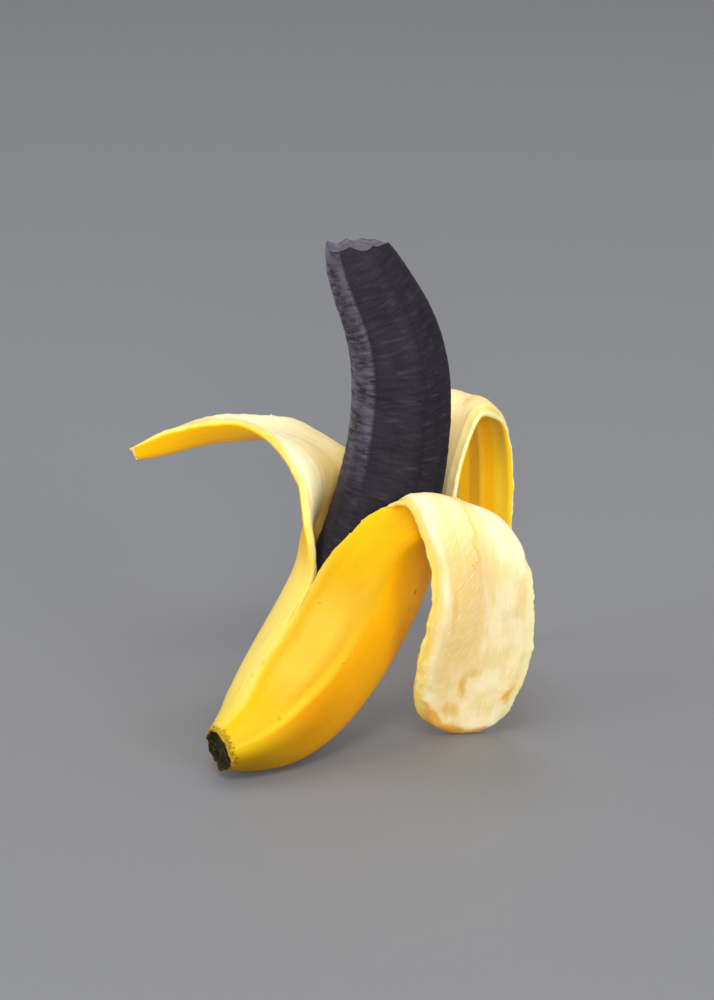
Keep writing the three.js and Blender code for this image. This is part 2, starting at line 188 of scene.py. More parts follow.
# %% The tube round the centre line
FRONT = np.array([0, -1, 0.25])
PAST_THE_BITE = 60
HALF_STEP = 0.75  # the direction of growth is measured this far to either side of a place
line = spline(CENTRE_LINE, fine_steps(CENTRE_LINE))
FRUIT_LENGTH = lengths(line)[-1]
line = np.vstack([line, line[-1] + PAST_THE_BITE * unit(line[-1] - line[-2])])
line_lengths = lengths(line)


def line_point(s):
    """The centre line at a distance s, carried on straight past the bite."""
    return np.stack([np.interp(s, line_lengths, line[:, k]) for k in range(3)], axis=-1)


def station(s):
    """Centre, growth direction, front and side: the front is FRONT less its part along the growth."""
    along = unit(line_point(s + HALF_STEP) - line_point(np.maximum(s - HALF_STEP, 0)))
    front = unit(FRONT - along * (along @ FRONT)[..., None])
    return line_point(s), along, front, np.cross(along, front)


def away(angle, ridge):
    """The signed angle from a ridge, from -180 to 180 degrees."""
    return (angle - ridge + 180) % 360 - 180


def ridge_shape(angle):
    """A bell curve at each ridge, less about their mean."""
    return sum(np.exp(-((away(angle, ridge) / RIDGE_WIDTH) ** 2)) for ridge in RIDGES) - RIDGE_LEVEL


def twist(s):
    """Degrees that the ridges have turned: all of the twist at the blossom end, none past 60 mm."""
    return RIDGE_TWIST * (1 - smooth(0, 60, s))


def radius(s, angle):
    """The keyed radius, raised at the ridges by a share that starts at nothing at the blossom end."""
    return keyed(s, RADII) * (1 + RIDGE_HEIGHT * smooth(0, 30, s) * ridge_shape(angle + twist(s)))


def tube(s, angle, depth=0.0, share=1.0):
    """Centre + (radius - depth) * share * (cos angle * front + sin angle * side)."""
    s, angle = np.broadcast_arrays(np.asarray(s, float), np.asarray(angle, float))
    centre, _, front, side = station(s)
    turn = np.radians(angle)[..., None]
    outward = np.cos(turn) * front + np.sin(turn) * side
    return centre + ((radius(s, angle) - depth) * share)[..., None] * outward


def round_end(s, tip):
    """The share of the radius near a rounded end: a quarter of an ellipse from its tip."""
    return np.sqrt(1 - (1 - np.clip((s - tip) / FLESH_ROUND, 0, 1)) ** 2)


def tear_start(angle):
    """The cup's rim: each tear's start, joined to the next by a smoothstep over the angle."""
    turn = (np.asarray(angle, float) - TEARS[0][0]) % 360 + TEARS[0][0]
    rim = np.zeros_like(turn)
    for (a0, s0), (a1, s1) in zip(TEARS, TEARS[1:]):
        rim = np.where((turn >= a0) & (turn <= a1), s0 + (s1 - s0) * smooth(a0, a1, turn), rim)
    return rim


def even_radius(s):
    """The keyed radius without its ridges, held at its last key."""
    return keyed(np.minimum(s, RADII[-1][0]), RADII)


def grown(s, angle):
    """Where a point would lie if the fruit were straight: a pattern that uses it follows every fold."""
    turn = np.radians(angle + twist(s))
    even = even_radius(s)
    return np.stack(np.broadcast_arrays(even * np.cos(turn), even * np.sin(turn), s), axis=-1)


print("centre line from the blossom end to the bite, mm:", round(FRUIT_LENGTH, 1))

# %% [markdown]
# ## The three strips
# A torn strip starts as a part of the tube and ends as a ribbon in the air. The ribbon is given by
# rows of three points, one edge, the middle and the other edge, and smooth lines run through them
# from row to row. A cloth simulation could drop the strips too, but it wouldn't lay each one in its
# place. On_fruit gives two distances where the ribbon still follows the fruit, and lead the length
# over which the tube turns into the ribbon, so that the fold starts without a kink. Edge and end say
# what share of the peel's thickness is left at a torn edge and at the strip's end.

# %% The rows of points of each strip
STRIPS = {
    "left": dict(from_angle=-160, to_angle=-38, on_fruit=(58, 73), lead=28, edge=0.7, end=1, rows=[
        [[6, 11, 64], [-11.4, -8, 73], [-6, -33, 73.4]],
        [[11, 14, 77], [-5.6, -3.5, 83.5], [-8.2, -24, 85.4]],
        [[12, 19.5, 89.6], [-2.4, 0, 94.5], [-10.3, -16, 95.8]],
        [[3, 22, 97.6], [-9.5, 2, 103], [-16, -12.5, 106]],
        [[-11.5, 22.5, 107], [-20.5, 2, 107.4], [-22.8, -13, 114.2]],
        [[-28.5, 19.5, 110.9], [-33, 0, 108.3], [-33, -14, 119]],
        [[-44.5, 12, 113.2], [-46, -3, 107.5], [-45, -15.5, 119]],
        [[-60, 3, 111], [-60.5, -6, 104.5], [-58, -14, 115.5]],
        [[-75, -7.5, 107], [-72.6, -9.5, 103.8], [-72.5, -12, 109]],
    ]),
    "front": dict(from_angle=-38, to_angle=85, on_fruit=(62, 79), lead=34, edge=0.35, end=1, rows=[
        [[5.5, -40, 82], [26.5, -43, 76], [41.5, -26, 68]],
        [[15, -41.5, 92.5], [35, -43.5, 86.5], [50, -31, 75]],
        [[22.5, -42.5, 97], [42.5, -45.5, 94.5], [58.5, -35.5, 81.5]],
        [[26, -48.5, 100], [48, -51.5, 98.2], [63.5, -42.5, 84.5]],
        [[30, -54.5, 98.5], [52, -57.5, 96.3], [66.5, -49.5, 83.2]],
        [[34.5, -60, 89], [54.5, -59.5, 87], [70.8, -54, 79]],
        [[37, -61, 77], [56, -55, 73], [73, -54, 70]],
        [[37, -57, 62], [56, -47, 56.5], [74, -49, 57]],
        [[33.8, -48, 43.5], [54.5, -37.5, 38], [74, -40.5, 39]],
        [[31.6, -36, 22.5], [51.5, -27.5, 18], [69.5, -30.5, 19.5]],
        [[35, -26.5, 9], [50.5, -21.5, 4], [65, -23, 8]],
        [[43.5, -20.5, 2.2], [50.5, -18.5, -1.5], [58, -19.5, 1.6]],
    ]),
    "rear": dict(from_angle=85, to_angle=200, on_fruit=(80, 92), lead=26, edge=0.4, end=1.7, rows=[
        [[44.5, -14.5, 82], [35.5, 10.5, 80.5], [14.5, 18, 85.5]],
        [[48, -6, 96], [41.5, 17.5, 96.5], [21.5, 27, 99.5]],
        [[52, 2.5, 107], [47.5, 24, 108.5], [31, 34, 109.5]],
        [[56.8, 12, 114.2], [52.5, 32, 113.5], [39.5, 42, 112.5]],
        [[62.3, 22, 111.2], [56.5, 39, 110], [46, 49, 108]],
        [[67.3, 32, 104.3], [59.5, 44, 99.5], [49.5, 56.5, 94]],
        [[70.4, 38, 87], [61, 46.5, 82], [50.5, 59.5, 77]],
        [[70.7, 41.5, 63.5], [61.5, 49.5, 59.5], [51, 61, 54]],
        [[69.4, 47.5, 39], [63, 55.5, 35], [53.5, 63.8, 31]],
        [[68.3, 56.5, 15.5], [62.5, 62.7, 12.5], [56.5, 67.7, 10.5]],
        [[66, 62.8, 1], [63, 66, -1], [60, 69, -2]],
    ]),
}
print({name: len(strip["rows"]) for name, strip in STRIPS.items()}, "rows of three points")

# %% [markdown]
# Seen as a surface, a strip is a function of two numbers: how far along it a point lies, and how far
# across it. A parabola joins the three lines across the strip. The ridges of the fruit go on in the
# strip and fade towards its end, and a torn edge is thinner than the middle.

# %% The skin of a strip
TEAR_OPENS = 0.05 / 24  # 0.05 mm for each mm past the tear, as an angle on a radius of 24 mm
LOOSE_RIDGES = 0.8 * RIDGE_HEIGHT
BEVEL = 5.0


def across_strip(from_angle, to_angle, across):
    """The angle at a place across a strip, and the distance at which the tear starts there."""
    angle = from_angle + (to_angle - from_angle) * across
    return angle, tear_start(np.clip(angle, from_angle, to_angle - 1e-6))


def facing(surface, s, across, last):
    """The outward normal: the cross product of the steps across the strip and along it."""
    up = surface(np.minimum(s + 1, last), across) - surface(np.maximum(s - 1, 0), across)
    over = surface(s, np.minimum(across + 0.02, 1)) - surface(s, np.maximum(across - 0.02, 0))
    return unit(np.cross(over, up))


def strip_skin(from_angle, to_angle, on_fruit, lead, rows, edge, end):
    """The skin as a function of the distance s along the strip and the place across it, 0 to 1."""
    edges = []
    for k, place in enumerate((0, 0.5, 1)):
        roots = tube(np.array(on_fruit, float), across_strip(from_angle, to_angle, place)[0])
        edges.append(controls_through(np.vstack([roots, [row[k] for row in rows]])))
    t = fine_steps(edges[1])
    middle = on_fruit[0] + lengths(spline(edges[1], t))
    total = middle[-1]

    def ribs(s):
        """The points at one edge, in the middle and at the other edge."""
        return [spline(controls, np.interp(s, middle, t)) for controls in edges]

    def ribbon(s, across):
        """A parabola across the strip: a (1-v)(1-2v) + m 4v(1-v) + b v(2v-1)."""
        a, m, b = ribs(s)
        v = across[..., None]
        return a * (1 - v) * (1 - 2 * v) + m * 4 * v * (1 - v) + b * v * (2 * v - 1)

    def skin(s, across):
        """The tube up to the tear, then the ribbon, with the ridges fading towards the end."""
        s, across = np.broadcast_arrays(np.asarray(s, float), np.asarray(across, float))
        angle, start = across_strip(from_angle, to_angle, across)
        fade = LOOSE_RIDGES * (1 - smooth(total - 60, total, s))
        relief = even_radius(s) * fade * ridge_shape(angle)
        loose = ribbon(s, across) + facing(ribbon, s, across, total) * relief[..., None]
        free = s - start
        opening = np.degrees(np.clip(free, 0, 20) * TEAR_OPENS) * (1 - 2 * across)
        tight = tube(np.minimum(s, FRUIT_LENGTH), angle + opening)
        share = smooth(0, lead, free)[..., None]
        return tight * (1 - share) + loose * share

    def kept(s, across):
        """The share of the thickness, the distance to the nearer torn edge, and the strip's width."""
        a, m, b = ribs(s)
        width = np.linalg.norm(m - a, axis=-1) + np.linalg.norm(b - m, axis=-1)
        margin = np.minimum(across, 1 - across) * width
        free = s - across_strip(from_angle, to_angle, across)[1]
        neck = 1 + (end - 1) * smooth(total - 24, total - 8, s)
        lost = (1 - edge) * (1 - smooth(0, BEVEL, margin)) * smooth(0, 16, free)
        return neck * (1 - lost), margin, width

    return skin, kept, total


for name, strip in STRIPS.items():
    print(f"the {name} strip ends {strip_skin(**strip)[-1]:.0f} mm from the blossom end")

# %% [markdown]
# ## Building closed skins
# A mesh is a list of points and a list of faces that name them. This small shell keeps both, and for
# every point what the finish needs to know, such as how deep it lies under the skin. A grid of point
# numbers becomes a sheet of faces in one step, and two sheets that share a row of numbers are joined.
# Separate sheets could be merged afterwards, but then a seam would show wherever two points differ.

# %% A shell of points, faces and notes for the finish
LENGTH_NOTES = ("grown", "edge", "tip")


class Shell:
    """Points with notes, and quads made from grids of point numbers."""

    def __init__(self, *notes):
        self.points, self.quads, self.count = [], [], 0
        self.notes = {note: [] for note in notes}

    def add(self, points, **notes):
        """Adds an array of points and gives back their numbers in an array of the same shape."""
        shape = points.shape[:-1]
        self.points.append(points.reshape(-1, 3))
        for note, kept in self.notes.items():
            value = np.asarray(notes[note], float)
            size = shape + value.shape[-1:] if note == "grown" else shape
            kept.append(np.broadcast_to(value, size).reshape(-1, *size[len(shape):]))
        numbers = np.arange(self.count, self.count + int(np.prod(shape))).reshape(shape)
        self.count += numbers.size
        return numbers

    def sheet(self, numbers, closed=False):
        """Quads between the rows: they face the side from which rows rise and columns run right."""
        if closed:
            numbers = np.concatenate([numbers, numbers[:, :1]], axis=1)
        low, high = numbers[:-1], numbers[1:]
        quads = np.stack([low[:, :-1], low[:, 1:], high[:, 1:], high[:, :-1]], axis=-1)
        self.quads.append(quads.reshape(-1, 4))

    def cap(self, ring, tip):
        """Closes a ring with triangles to one point, written as quads whose last number is -1."""
        corners = ring, np.roll(ring, -1), np.full_like(ring, tip), np.full_like(ring, -1)
        self.quads.append(np.stack(corners, axis=-1))

    def piece(self, name, material):
        """Makes the object, in metres, smooth shaded, with every note as a point attribute."""
        quads = np.concatenate(self.quads)
        faces = [[int(n) for n in face if n >= 0] for face in quads.tolist()]
        mesh = bpy.data.meshes.new(name)
        points = np.concatenate(self.points) / 1000
        mesh.from_pydata(points, [], faces)
        for note, kept in self.notes.items():
            values = np.concatenate(kept)
            kind, field = ("FLOAT_VECTOR", "vector") if values.ndim == 2 else ("FLOAT", "value")
            scale = 0.001 if note in LENGTH_NOTES else 1
            attribute = mesh.attributes.new(note, kind, "POINT")
            attribute.data.foreach_set(field, (values * scale).ravel())
        mesh.polygons.foreach_set("use_smooth", [True] * len(mesh.polygons))
        mesh.materials.append(material)
        piece = bpy.data.objects.new(name, mesh)
        bpy.context.scene.collection.objects.link(piece)
        triangles = sum(len(face) - 2 for face in faces)
        print(f"{name}: {len(points)} points, {triangles} triangles")
        return piece


def normals(grid):
    """Outward normals of a grid that closes on itself: its column differences crossed with its rows'."""
    up = np.gradient(grid, axis=0)
    over = (np.roll(grid, -1, 1) - np.roll(grid, 1, 1)) / 2
    return unit(np.cross(over, up) + 1e-12)


print("notes kept as lengths, in metres once in the mesh:", LENGTH_NOTES)

# %% [markdown]
# ## Shader maths
# A finish is a graph of nodes. Written by hand it would be a long list of links, so a node's output is
# wrapped here in a small value that can be added and multiplied like a number. Each operation adds
# one Math node. Colours and vectors keep their own nodes, since a Math node would turn them grey.

# %% Values that can be used in sums
class Value:
    """A node's output: each operator adds a Math node."""

    def __init__(self, finish, socket):
        self.finish, self.socket = finish, socket

    def math(self, operation, *inputs):
        return self.finish.node("ShaderNodeMath", {"operation": operation}, dict(enumerate(inputs)))

    def __add__(self, other):
        return self.math("ADD", self, other)

    def __radd__(self, other):
        return self.math("ADD", other, self)

    def __sub__(self, other):
        return self.math("SUBTRACT", self, other)

    def __rsub__(self, other):
        return self.math("SUBTRACT", other, self)

    def __mul__(self, other):
        return self.math("MULTIPLY", self, other)

    def __rmul__(self, other):
        return self.math("MULTIPLY", other, self)

    def __abs__(self):
        return self.math("ABSOLUTE", self)


def tone(red, green, blue):
    """A colour as a screen shows it, 0 to 255, made linear: ((c + 0.055) / 1.055) to the 2.4."""
    shares = [c / 255 for c in (red, green, blue)]
    return tuple(c / 12.92 if c < 10 / 255 else ((c + 0.055) / 1.055) ** 2.4 for c in shares)


print("a ripe yellow is", [round(c, 3) for c in tone(245, 200, 30)])

# %% [markdown]
# The same few moves make every finish: read a note of the mesh, draw noise, cut a soft edge out of it,
# and lay a colour over another where that edge says so. Each is a short method here. A colour that is
# laid over is written as three screen numbers, since those are the numbers that a picker shows.

# %% Finishes
class Finish:
    """A material, its Principled shader, and the few kinds of node that finishes are made of."""

    def __init__(self, name):
        self.material = bpy.data.materials.new(name)
        self.material.use_nodes = True
        self.tree = self.material.node_tree
        self.shader = self.tree.nodes["Principled BSDF"]

    def node(self, kind, settings=None, inputs=None, output=0):
        """Adds a node: its settings first, then its sockets, each a value, a link or a colour."""
        made = self.tree.nodes.new(kind)
        for setting, choice in (settings or {}).items():
            setattr(made, setting, choice)
        for socket, given in (inputs or {}).items():
            self.set(made.inputs[socket], given)
        return Value(self, made.outputs[output])

    def set(self, socket, given):
        """Links a value to a socket, or sets the socket's own number or colour."""
        if isinstance(given, Value):
            self.tree.links.new(given.socket, socket)
        elif isinstance(given, tuple) and socket.type == "RGBA":
            socket.default_value = (*given, 1)
        else:
            socket.default_value = given

    def shade(self, **sockets):
        """Sets the shader's sockets by their names, with underscores for spaces."""
        for socket, given in sockets.items():
            self.set(self.shader.inputs[socket.replace("_", " ")], given)
        return self.material

    def note(self, name):
        """A point attribute that the mesh carries: a vector for grown, a number for the rest."""
        output = 1 if name == "grown" else 2
        return self.node("ShaderNodeAttribute", {"attribute_name": name}, output=output)

    def on_fruit(self):
        """The note called grown, its distance along the fruit in metres and its angle in degrees."""
        place = self.note("grown")
        apart = self.node("ShaderNodeSeparateXYZ", inputs={"Vector": place})
        x, y, along = (Value(self, socket) for socket in apart.socket.node.outputs)
        return place, along, y.math("ARCTAN2", y, x) * (180 / np.pi)

    def step(self, value, low, high):
        """Smoothstep of a value, from 0 at low to 1 at high; it falls where low is above high."""
        sockets = {0: value, 1: low, 2: high, 3: 0.0, 4: 1.0}
        if low > high:
            sockets = {0: value, 1: high, 2: low, 3: 1.0, 4: 0.0}
        return self.node("ShaderNodeMapRange", {"interpolation_type": "SMOOTHSTEP"}, sockets)

    def band(self, value, low, high, soft):
        """1 from low to high, easing to 0 over a soft length outside them."""
        return self.step(value, low - soft, low) * self.step(value, high + soft, high)

    def peak(self, value, middle, soft):
        """1 at a middle value, easing to 0 at a soft distance on either side."""
        return self.step(abs(value - middle), soft, 0)

    def spot(self, along, angle, mark, ragged):
        """An ellipse: the strength in its middle, easing out where u squared + v squared nears 1."""
        s, turn, half_length, half_width, strength = mark
        u, v = (along - s / 1000) * (1000 / half_length), (angle - turn) * (1 / half_width)
        return self.step(u * u + v * v + ragged, 1.0, -0.3) * strength

    def noise(self, vector, stretch=(1, 1, 1), shift=(0, 0, 0), detail=3.0, roughness=0.5):
        """Fractal noise about 0.5, drawn denser along the parts whose stretch is large."""
        sockets = {"Vector": vector, "Scale": stretch, "Location": shift}
        where = self.node("ShaderNodeMapping", inputs=sockets)
        sockets = {"Vector": where, "Scale": 1.0, "Detail": detail, "Roughness": roughness}
        return self.node("ShaderNodeTexNoise", inputs=sockets)

    def mix(self, share, a, b):
        """Colour a turned into colour b by a share: each is a value or three screen numbers."""
        a, b = (tone(*colour) if isinstance(colour, tuple) else colour for colour in (a, b))
        return self.node("ShaderNodeMix", {"data_type": "RGBA"}, {0: share, 6: a, 7: b}, 2)

    def coats(self, colour, *coats):
        """A colour with others laid over it in turn, each by its share."""
        for share, coat in coats:
            colour = self.mix(share, colour, coat)
        return colour

    def bump(self, height, distance):
        """A normal tilted by the slope of a height, which is 1 for a whole distance in metres."""
        return self.node("ShaderNodeBump", inputs={"Height": height, "Distance": distance})


print("moves of a finish:", [move for move in vars(Finish) if not move.startswith("_")])

# %% [markdown]
# ## The finish of the peel
# A peel is a thin waxy skin over a cream pith. The skin is yellow, and each facet differs: the left one
# is pale and streaked, the right one orange, and the blossom end olive. One finish does for skin and
# pith: the note called depth tells skin, 0, from pith, 1, and a torn edge lies between. Two materials
# would meet in a hard line there. Patterns read the note called grown, so they follow the peel into its
# folds, and a mark keeps its place on the fruit.

# %% Marks and stains
# Marks on the skin and stains on the pith: distance in mm, angle, half a length in mm, half a width in
# degrees, strength.
MARKS = [
    (33.4, -41, 3.4, 3.6, 0.28), (25.9, -46, 2.0, 3.0, 0.25), (90.9, 63, 1.1, 3.2, 0.7),
    (84.6, 65.5, 1.1, 1.8, 0.7), (71.8, -23.8, 1.0, 2.4, 0.5), (18, 12, 1.0, 4, 0.3),
]
STAINS = [
    (217, 11, 9, 7, 0.9), (210.5, 21, 4, 14, 0.55), (179, -15, 16, 4.5, 0.5), (231, 2, 5, 16, 0.7),
    (147, 72, 1.6, 2.6, 0.7), (166.4, 126.6, 5, 12, 0.8),
]
CRACK = (61.5, -41, 8.5, 1.5, 0.7)
print(len(MARKS), "marks on the skin and", len(STAINS), "stains on the pith")

# %% [markdown]
# The skin's colour changes along the fruit, from the olive blossom end to the bright strips, and round
# it, from facet to facet. A painted image could be wrapped round it, but it would stretch at the folds.
# Here each change is a soft edge in the distance or in the angle, and thin coats of colour are laid
# over one another. Noise drawn out along the growth makes streaks, and dense noise makes grain.

# %% Colour of the skin
def skin_colour(peel, place, along, angle):
    """Yellow, shifted facet by facet, with an olive end, a few brown marks and very fine grain."""
    patches = peel.noise(place, (60, 60, 22), detail=4)
    streaks = peel.noise(place, (420, 420, 24), roughness=0.6)
    grain = peel.noise(place, (2600, 2600, 2600), detail=1)
    flecks = peel.noise(place, (700, 700, 340), detail=2)
    uneven = patches - 0.5

    # The closed half: orange on the right facet, pale and streaked on the left one.
    right = peel.step(angle, 17, 26) * peel.step(angle, 112, 92)
    orange = peel.mix(peel.step(along, 0.03, 0.1), (222, 148, 2), (250, 182, 4))
    low = peel.step(along, 0.115, 0.07)
    left = peel.step(angle, -34, -42) * peel.step(angle, -132, -112) * low
    grey = peel.band(angle, -66, -47, 9) * peel.band(along, 0.016, 0.05, 0.02)
    grey = grey * peel.step(streaks, 0.4, 0.66)
    # A painted highlight in the middle of the front facet, low on the fruit.
    painted_highlight = peel.band(angle, -20, -4, 16) * peel.band(along, 0.04, 0.064, 0.026)
    skin = peel.mix(peel.step(patches, 0.35, 0.7), (204, 156, 1), (216, 172, 10))
    skin = peel.coats(
        skin,
        (right * 0.9, orange),
        # A painted highlight along the ridge at 17 degrees.
        (peel.peak(angle, 17, 8) * peel.step(along, 0.1, 0.03) * 0.45, (244, 206, 36)),
        (left * 0.85, (246, 220, 110)),
        (grey * 0.55, (218, 200, 116)),
        # A painted highlight along the ridge at -36 degrees.
        (peel.peak(angle, -36, 6) * low * 0.25, (252, 218, 84)),
        (painted_highlight * 0.34, (238, 208, 88)),
    )

    # The strips are a brighter yellow, with a painted highlight along a ridge of the rear one and painted
    # shade on one of its facets.
    upper = peel.step(along + uneven * 0.03, 0.076, 0.112)
    shade = peel.band(angle, 158, 176, 8) * peel.band(along, 0.186, 0.212, 0.02)
    skin = peel.coats(
        skin,
        (upper * 0.9, (255, 190, 10)),
        (upper * peel.band(angle, 86, 118, 14) * 0.75, (255, 216, 50)),
        # A painted highlight along the rear strip's ridge.
        (upper * peel.peak(angle, 150, 9) * 0.6, (255, 204, 66)),
        (shade * (0.35 + streaks * 0.5), (206, 150, 4)),
    )

    # The blossom end is olive and brown underneath, the brown partly painted shade. Grain, flecks and marks
    # lie over everything.
    olive = peel.step(along + uneven * 0.02, 0.032, 0.003)
    # The underside of the blossom end: dark olive with painted shade.
    under = peel.step(along + uneven * 0.03, 0.052, 0.006) * peel.band(angle, 58, 150, 38)
    skin = peel.coats(
        skin,
        (olive * 0.6, (206, 180, 10)),
        (under * 0.85, (124, 92, 3)),
        (peel.spot(along, angle, CRACK, 0.0), (214, 158, 16)),
        (peel.step(streaks, 0.58, 0.76) * 0.16, (206, 146, 10)),
        (peel.step(grain, 0.5, 0.8) * 0.12, (170, 110, 0)),
        (peel.step(flecks, 0.745, 0.78) * 0.6, (122, 78, 10)),
    )
    ragged = (streaks + grain - 1) * 1.6
    marks = [(peel.spot(along, angle, mark, ragged), (104, 70, 6)) for mark in MARKS]
    return peel.coats(skin, *marks), uneven, streaks


print("skin:", skin_colour.__doc__)

# %% [markdown]
# Pith is cream and fibrous, and the peel's yellow layer shows at a torn edge. Fibres are noise drawn
# out along the growth. Short slanting strokes are the same noise on a slanted grid of distance and
# angle. In the trough of the front strip, painted shade darkens the cream and takes up the strokes.
# Near the flesh a painted glow turns it golden.

# %% Colour of the pith
def pith_colour(peel, place, depth, along, angle):
    """Cream with long fibres, tan on the front strip, yellow at a torn edge, bruised at a tip, with painted
    shade and glow.
    """
    fibres = peel.noise(place, (640, 640, 26), detail=4, roughness=0.65)
    slant = peel.node("ShaderNodeCombineXYZ", inputs={0: angle * 0.13, 1: along * 800 + angle * 0.42})
    strokes = peel.noise(slant, roughness=0.6)
    mottle = peel.noise(place, (120, 120, 60), (3, 1, 0), detail=4)
    uneven = (mottle - 0.5) * 0.02

    # The cream is tan on the front strip past the fold, and golden on the left and rear strips, partly as
    # painted glow.
    folded = peel.band(angle, -34, 80, 12) * peel.step(along, 0.084, 0.1)
    fold = peel.mix(peel.step(mottle, 0.35, 0.65), (233, 208, 140), (245, 229, 182))
    # Golden: a yellower pith near the left strip's root and on the rear strip, deepened by painted glow.
    golden = peel.band(angle, -180, -90, 30) * peel.step(along, 0.15, 0.1)
    golden = golden + peel.band(angle, 92, 176, 14) * 0.5
    # Painted shade in the trough of the front strip, streaked by the strokes below.
    shaded_trough = peel.band(angle, -14, 18, 11) * peel.band(along, 0.155, 0.2, 0.03)
    # A painted glow near the flesh, as of light passing through the peel.
    painted_glow = peel.band(angle, -190, -112, 26) * peel.step(along + uneven, 0.122, 0.092)
    pith = peel.mix(peel.step(mottle, 0.3, 0.75), (248, 228, 172), (254, 241, 206))
    pith = peel.coats(
        pith,
        (folded * 0.8, fold),
        (peel.step(fibres, 0.5, 0.76) * 0.45, (255, 248, 222)),
        (peel.step(fibres, 0.46, 0.28) * 0.22, (240, 206, 124)),
        (golden * 0.8, (255, 212, 92)),
        (shaded_trough * (0.25 + mottle * 0.7), (234, 196, 112)),
        (shaded_trough * peel.step(strokes, 0.52, 0.68) * 0.5, (252, 236, 184)),
        (shaded_trough * peel.step(strokes, 0.46, 0.34) * 0.2, (222, 180, 98)),
        (painted_glow * 0.7, (255, 200, 70)),
    )
    ragged = (fibres + mottle - 1) * 1.2
    stains = [(peel.spot(along, angle, stain, ragged), (222, 172, 58)) for stain in STAINS]
    pith = peel.coats(pith, *stains)

    # A bruise at each tip and at its corners, then the torn edge between skin and pith.
    edge, tip = peel.note("edge"), peel.note("tip")
    tips = peel.step(tip + uneven, 0.010, 0.004)
    corners = peel.step(edge + uneven, 0.0065, 0.003) * peel.step(tip + uneven * 2, 0.03, 0.018)
    pith = peel.mix(peel.step(tips + corners, 0, 1) * 0.9, pith, (228, 168, 58))
    torn = peel.coats(
        peel.mix(peel.step(fibres, 0.4, 0.7), (238, 202, 96), (247, 221, 134)),
        (peel.step(angle, -37, -42) * 0.8, (254, 236, 174)),
        (peel.band(angle, 60, 84, 10) * 0.8, (252, 238, 186)),
    )
    return peel.mix(peel.step(depth + (mottle - 0.5) * 0.08, 0.4, 1.0), torn, pith), fibres, strokes


print("pith:", pith_colour.__doc__)

# %% [markdown]
# Skin and pith meet where the note called depth leaves 0. The dry neck lies over both, and so does the
# scar, whose depth is below 0. Wax makes the skin glossier than the pith, and light that sinks in and
# comes out again keeps both from looking like painted plaster.

# %% Finish of the peel
def peel_finish():
    """Skin outside and pith inside, with the scar at one end and the dry neck at the other."""
    peel = Finish("peel_skin_and_pith")
    place, along, angle = peel.on_fruit()
    depth = peel.note("depth")
    skin, uneven, streaks = skin_colour(peel, place, along, angle)
    pith, fibres, strokes = pith_colour(peel, place, depth, along, angle)
    inward = peel.step(depth + (fibres - 0.5) * 0.06, 0.03, 0.16)
    neck = peel.step(along + uneven * 0.02, 0.272, 0.286)
    bark = peel.mix(peel.step(streaks, 0.35, 0.7), (70, 52, 22), (128, 100, 48))

    # The scar at the blossom end is dry and nearly black, with a crumbling brown rim.
    crust = peel.noise(place, (900, 900, 900), detail=5, roughness=0.7)
    scar = peel.step(depth + (crust - 0.5) * 0.5, -0.25, -0.6)
    dry = peel.mix(peel.step(crust, 0.5, 0.72), (30, 24, 12), (112, 94, 52))
    near = peel.step(along + (crust - 0.5) * 0.006, 0.0022, 0.0002) + peel.step(depth, 0.0, -0.06)
    rim = peel.step(near, 0, 1) * peel.step(depth, 0.3, 0.0)
    brown = peel.mix(peel.step(crust, 0.35, 0.7), (96, 68, 8), (214, 170, 30))
    colour = peel.coats(skin, (inward, pith), (neck * 0.9, bark), (rim * 0.85, brown), (scar, dry))

    pores = peel.noise(place, (1500, 1500, 700), detail=2)
    outside, inside = streaks * 0.4 + pores * 0.35, fibres * 0.9 + strokes * 0.5
    height = outside * (1 - inward) + inside * inward + crust * 6 * scar
    return peel.shade(
        Base_Color=colour, Roughness=0.44 + 0.3 * inward + (streaks - 0.5) * 0.2,
        Normal=peel.bump(height, 0.00022), Specular_IOR_Level=0.22, Specular_Tint=(1.0, 0.86, 0.5),
        Subsurface_Weight=0.45, Subsurface_Radius=(1.0, 0.7, 0.3), Subsurface_Scale=0.0035,
    )


peel_material = peel_finish()
print(len(peel_material.node_tree.nodes), "nodes in the peel's finish")

# %% [markdown]
# ## The peel
# The skin isn't smooth: its ridges have crisp crests, and shallow dents lie between them. The pith
# keeps grooves where the flesh lay. A bump in the finish could hint at all that, but it wouldn't show
# in the outline, so each is a height in millimetres that moves the points along the normal.

# %% Small shapes on the skin and the pith
CREST, DENT, SKIN_LINE = 0.4, 0.25, 0.05
GROOVE, PITH_LINE, PITH_WAVE = 0.3, 0.06, 0.06


def skin_relief(s, angle):
    """Crisp crests on the ridges, shallow dents between them and lines along the growth, in mm."""
    s, angle = np.broadcast_arrays(s, angle)
    crest = sum(np.exp(-np.hypot(away(angle + twist(s), ridge), 1.5) / 6) for ridge in RIDGES)
    dents = hills(angle / 360 * 14, s / 26, seed=3, wrap=14)
    lines = hills(angle / 360 * 90, s / 60, seed=4, wrap=90)
    return smooth(0, 18, s) * (CREST * crest + DENT * dents + SKIN_LINE * lines)


def pith_relief(s, angle):
    """Grooves where the flesh lay: a groove under each ridge, and fine lines along the growth."""
    s, angle = np.broadcast_arrays(s, angle)
    groove = sum(np.exp(-((away(angle + twist(s), ridge) / 7) ** 2)) for ridge in RIDGES)
    lines = hills(angle / 360 * 120, s / 40, seed=5, wrap=120)
    waves = hills(angle / 360 * 30, s / 3.2, seed=6, wrap=30)
    return -GROOVE * groove + PITH_LINE * lines + PITH_WAVE * waves


print("relief near a ridge, mm:", skin_relief(np.array(50.0), np.array(24.0)).round(2))

# %% [markdown]
# The lower half of the peel is a closed cup. It is a tube outside and a tube inside, the second one
# smaller by the thickness, with a rounded bottom. At the blossom end a dry, lumpy scar closes it. The
# scar is a few rings that shrink to a point, each with a share of the scar's radius, a step into the
# fruit in mm and its own depth for the finish.

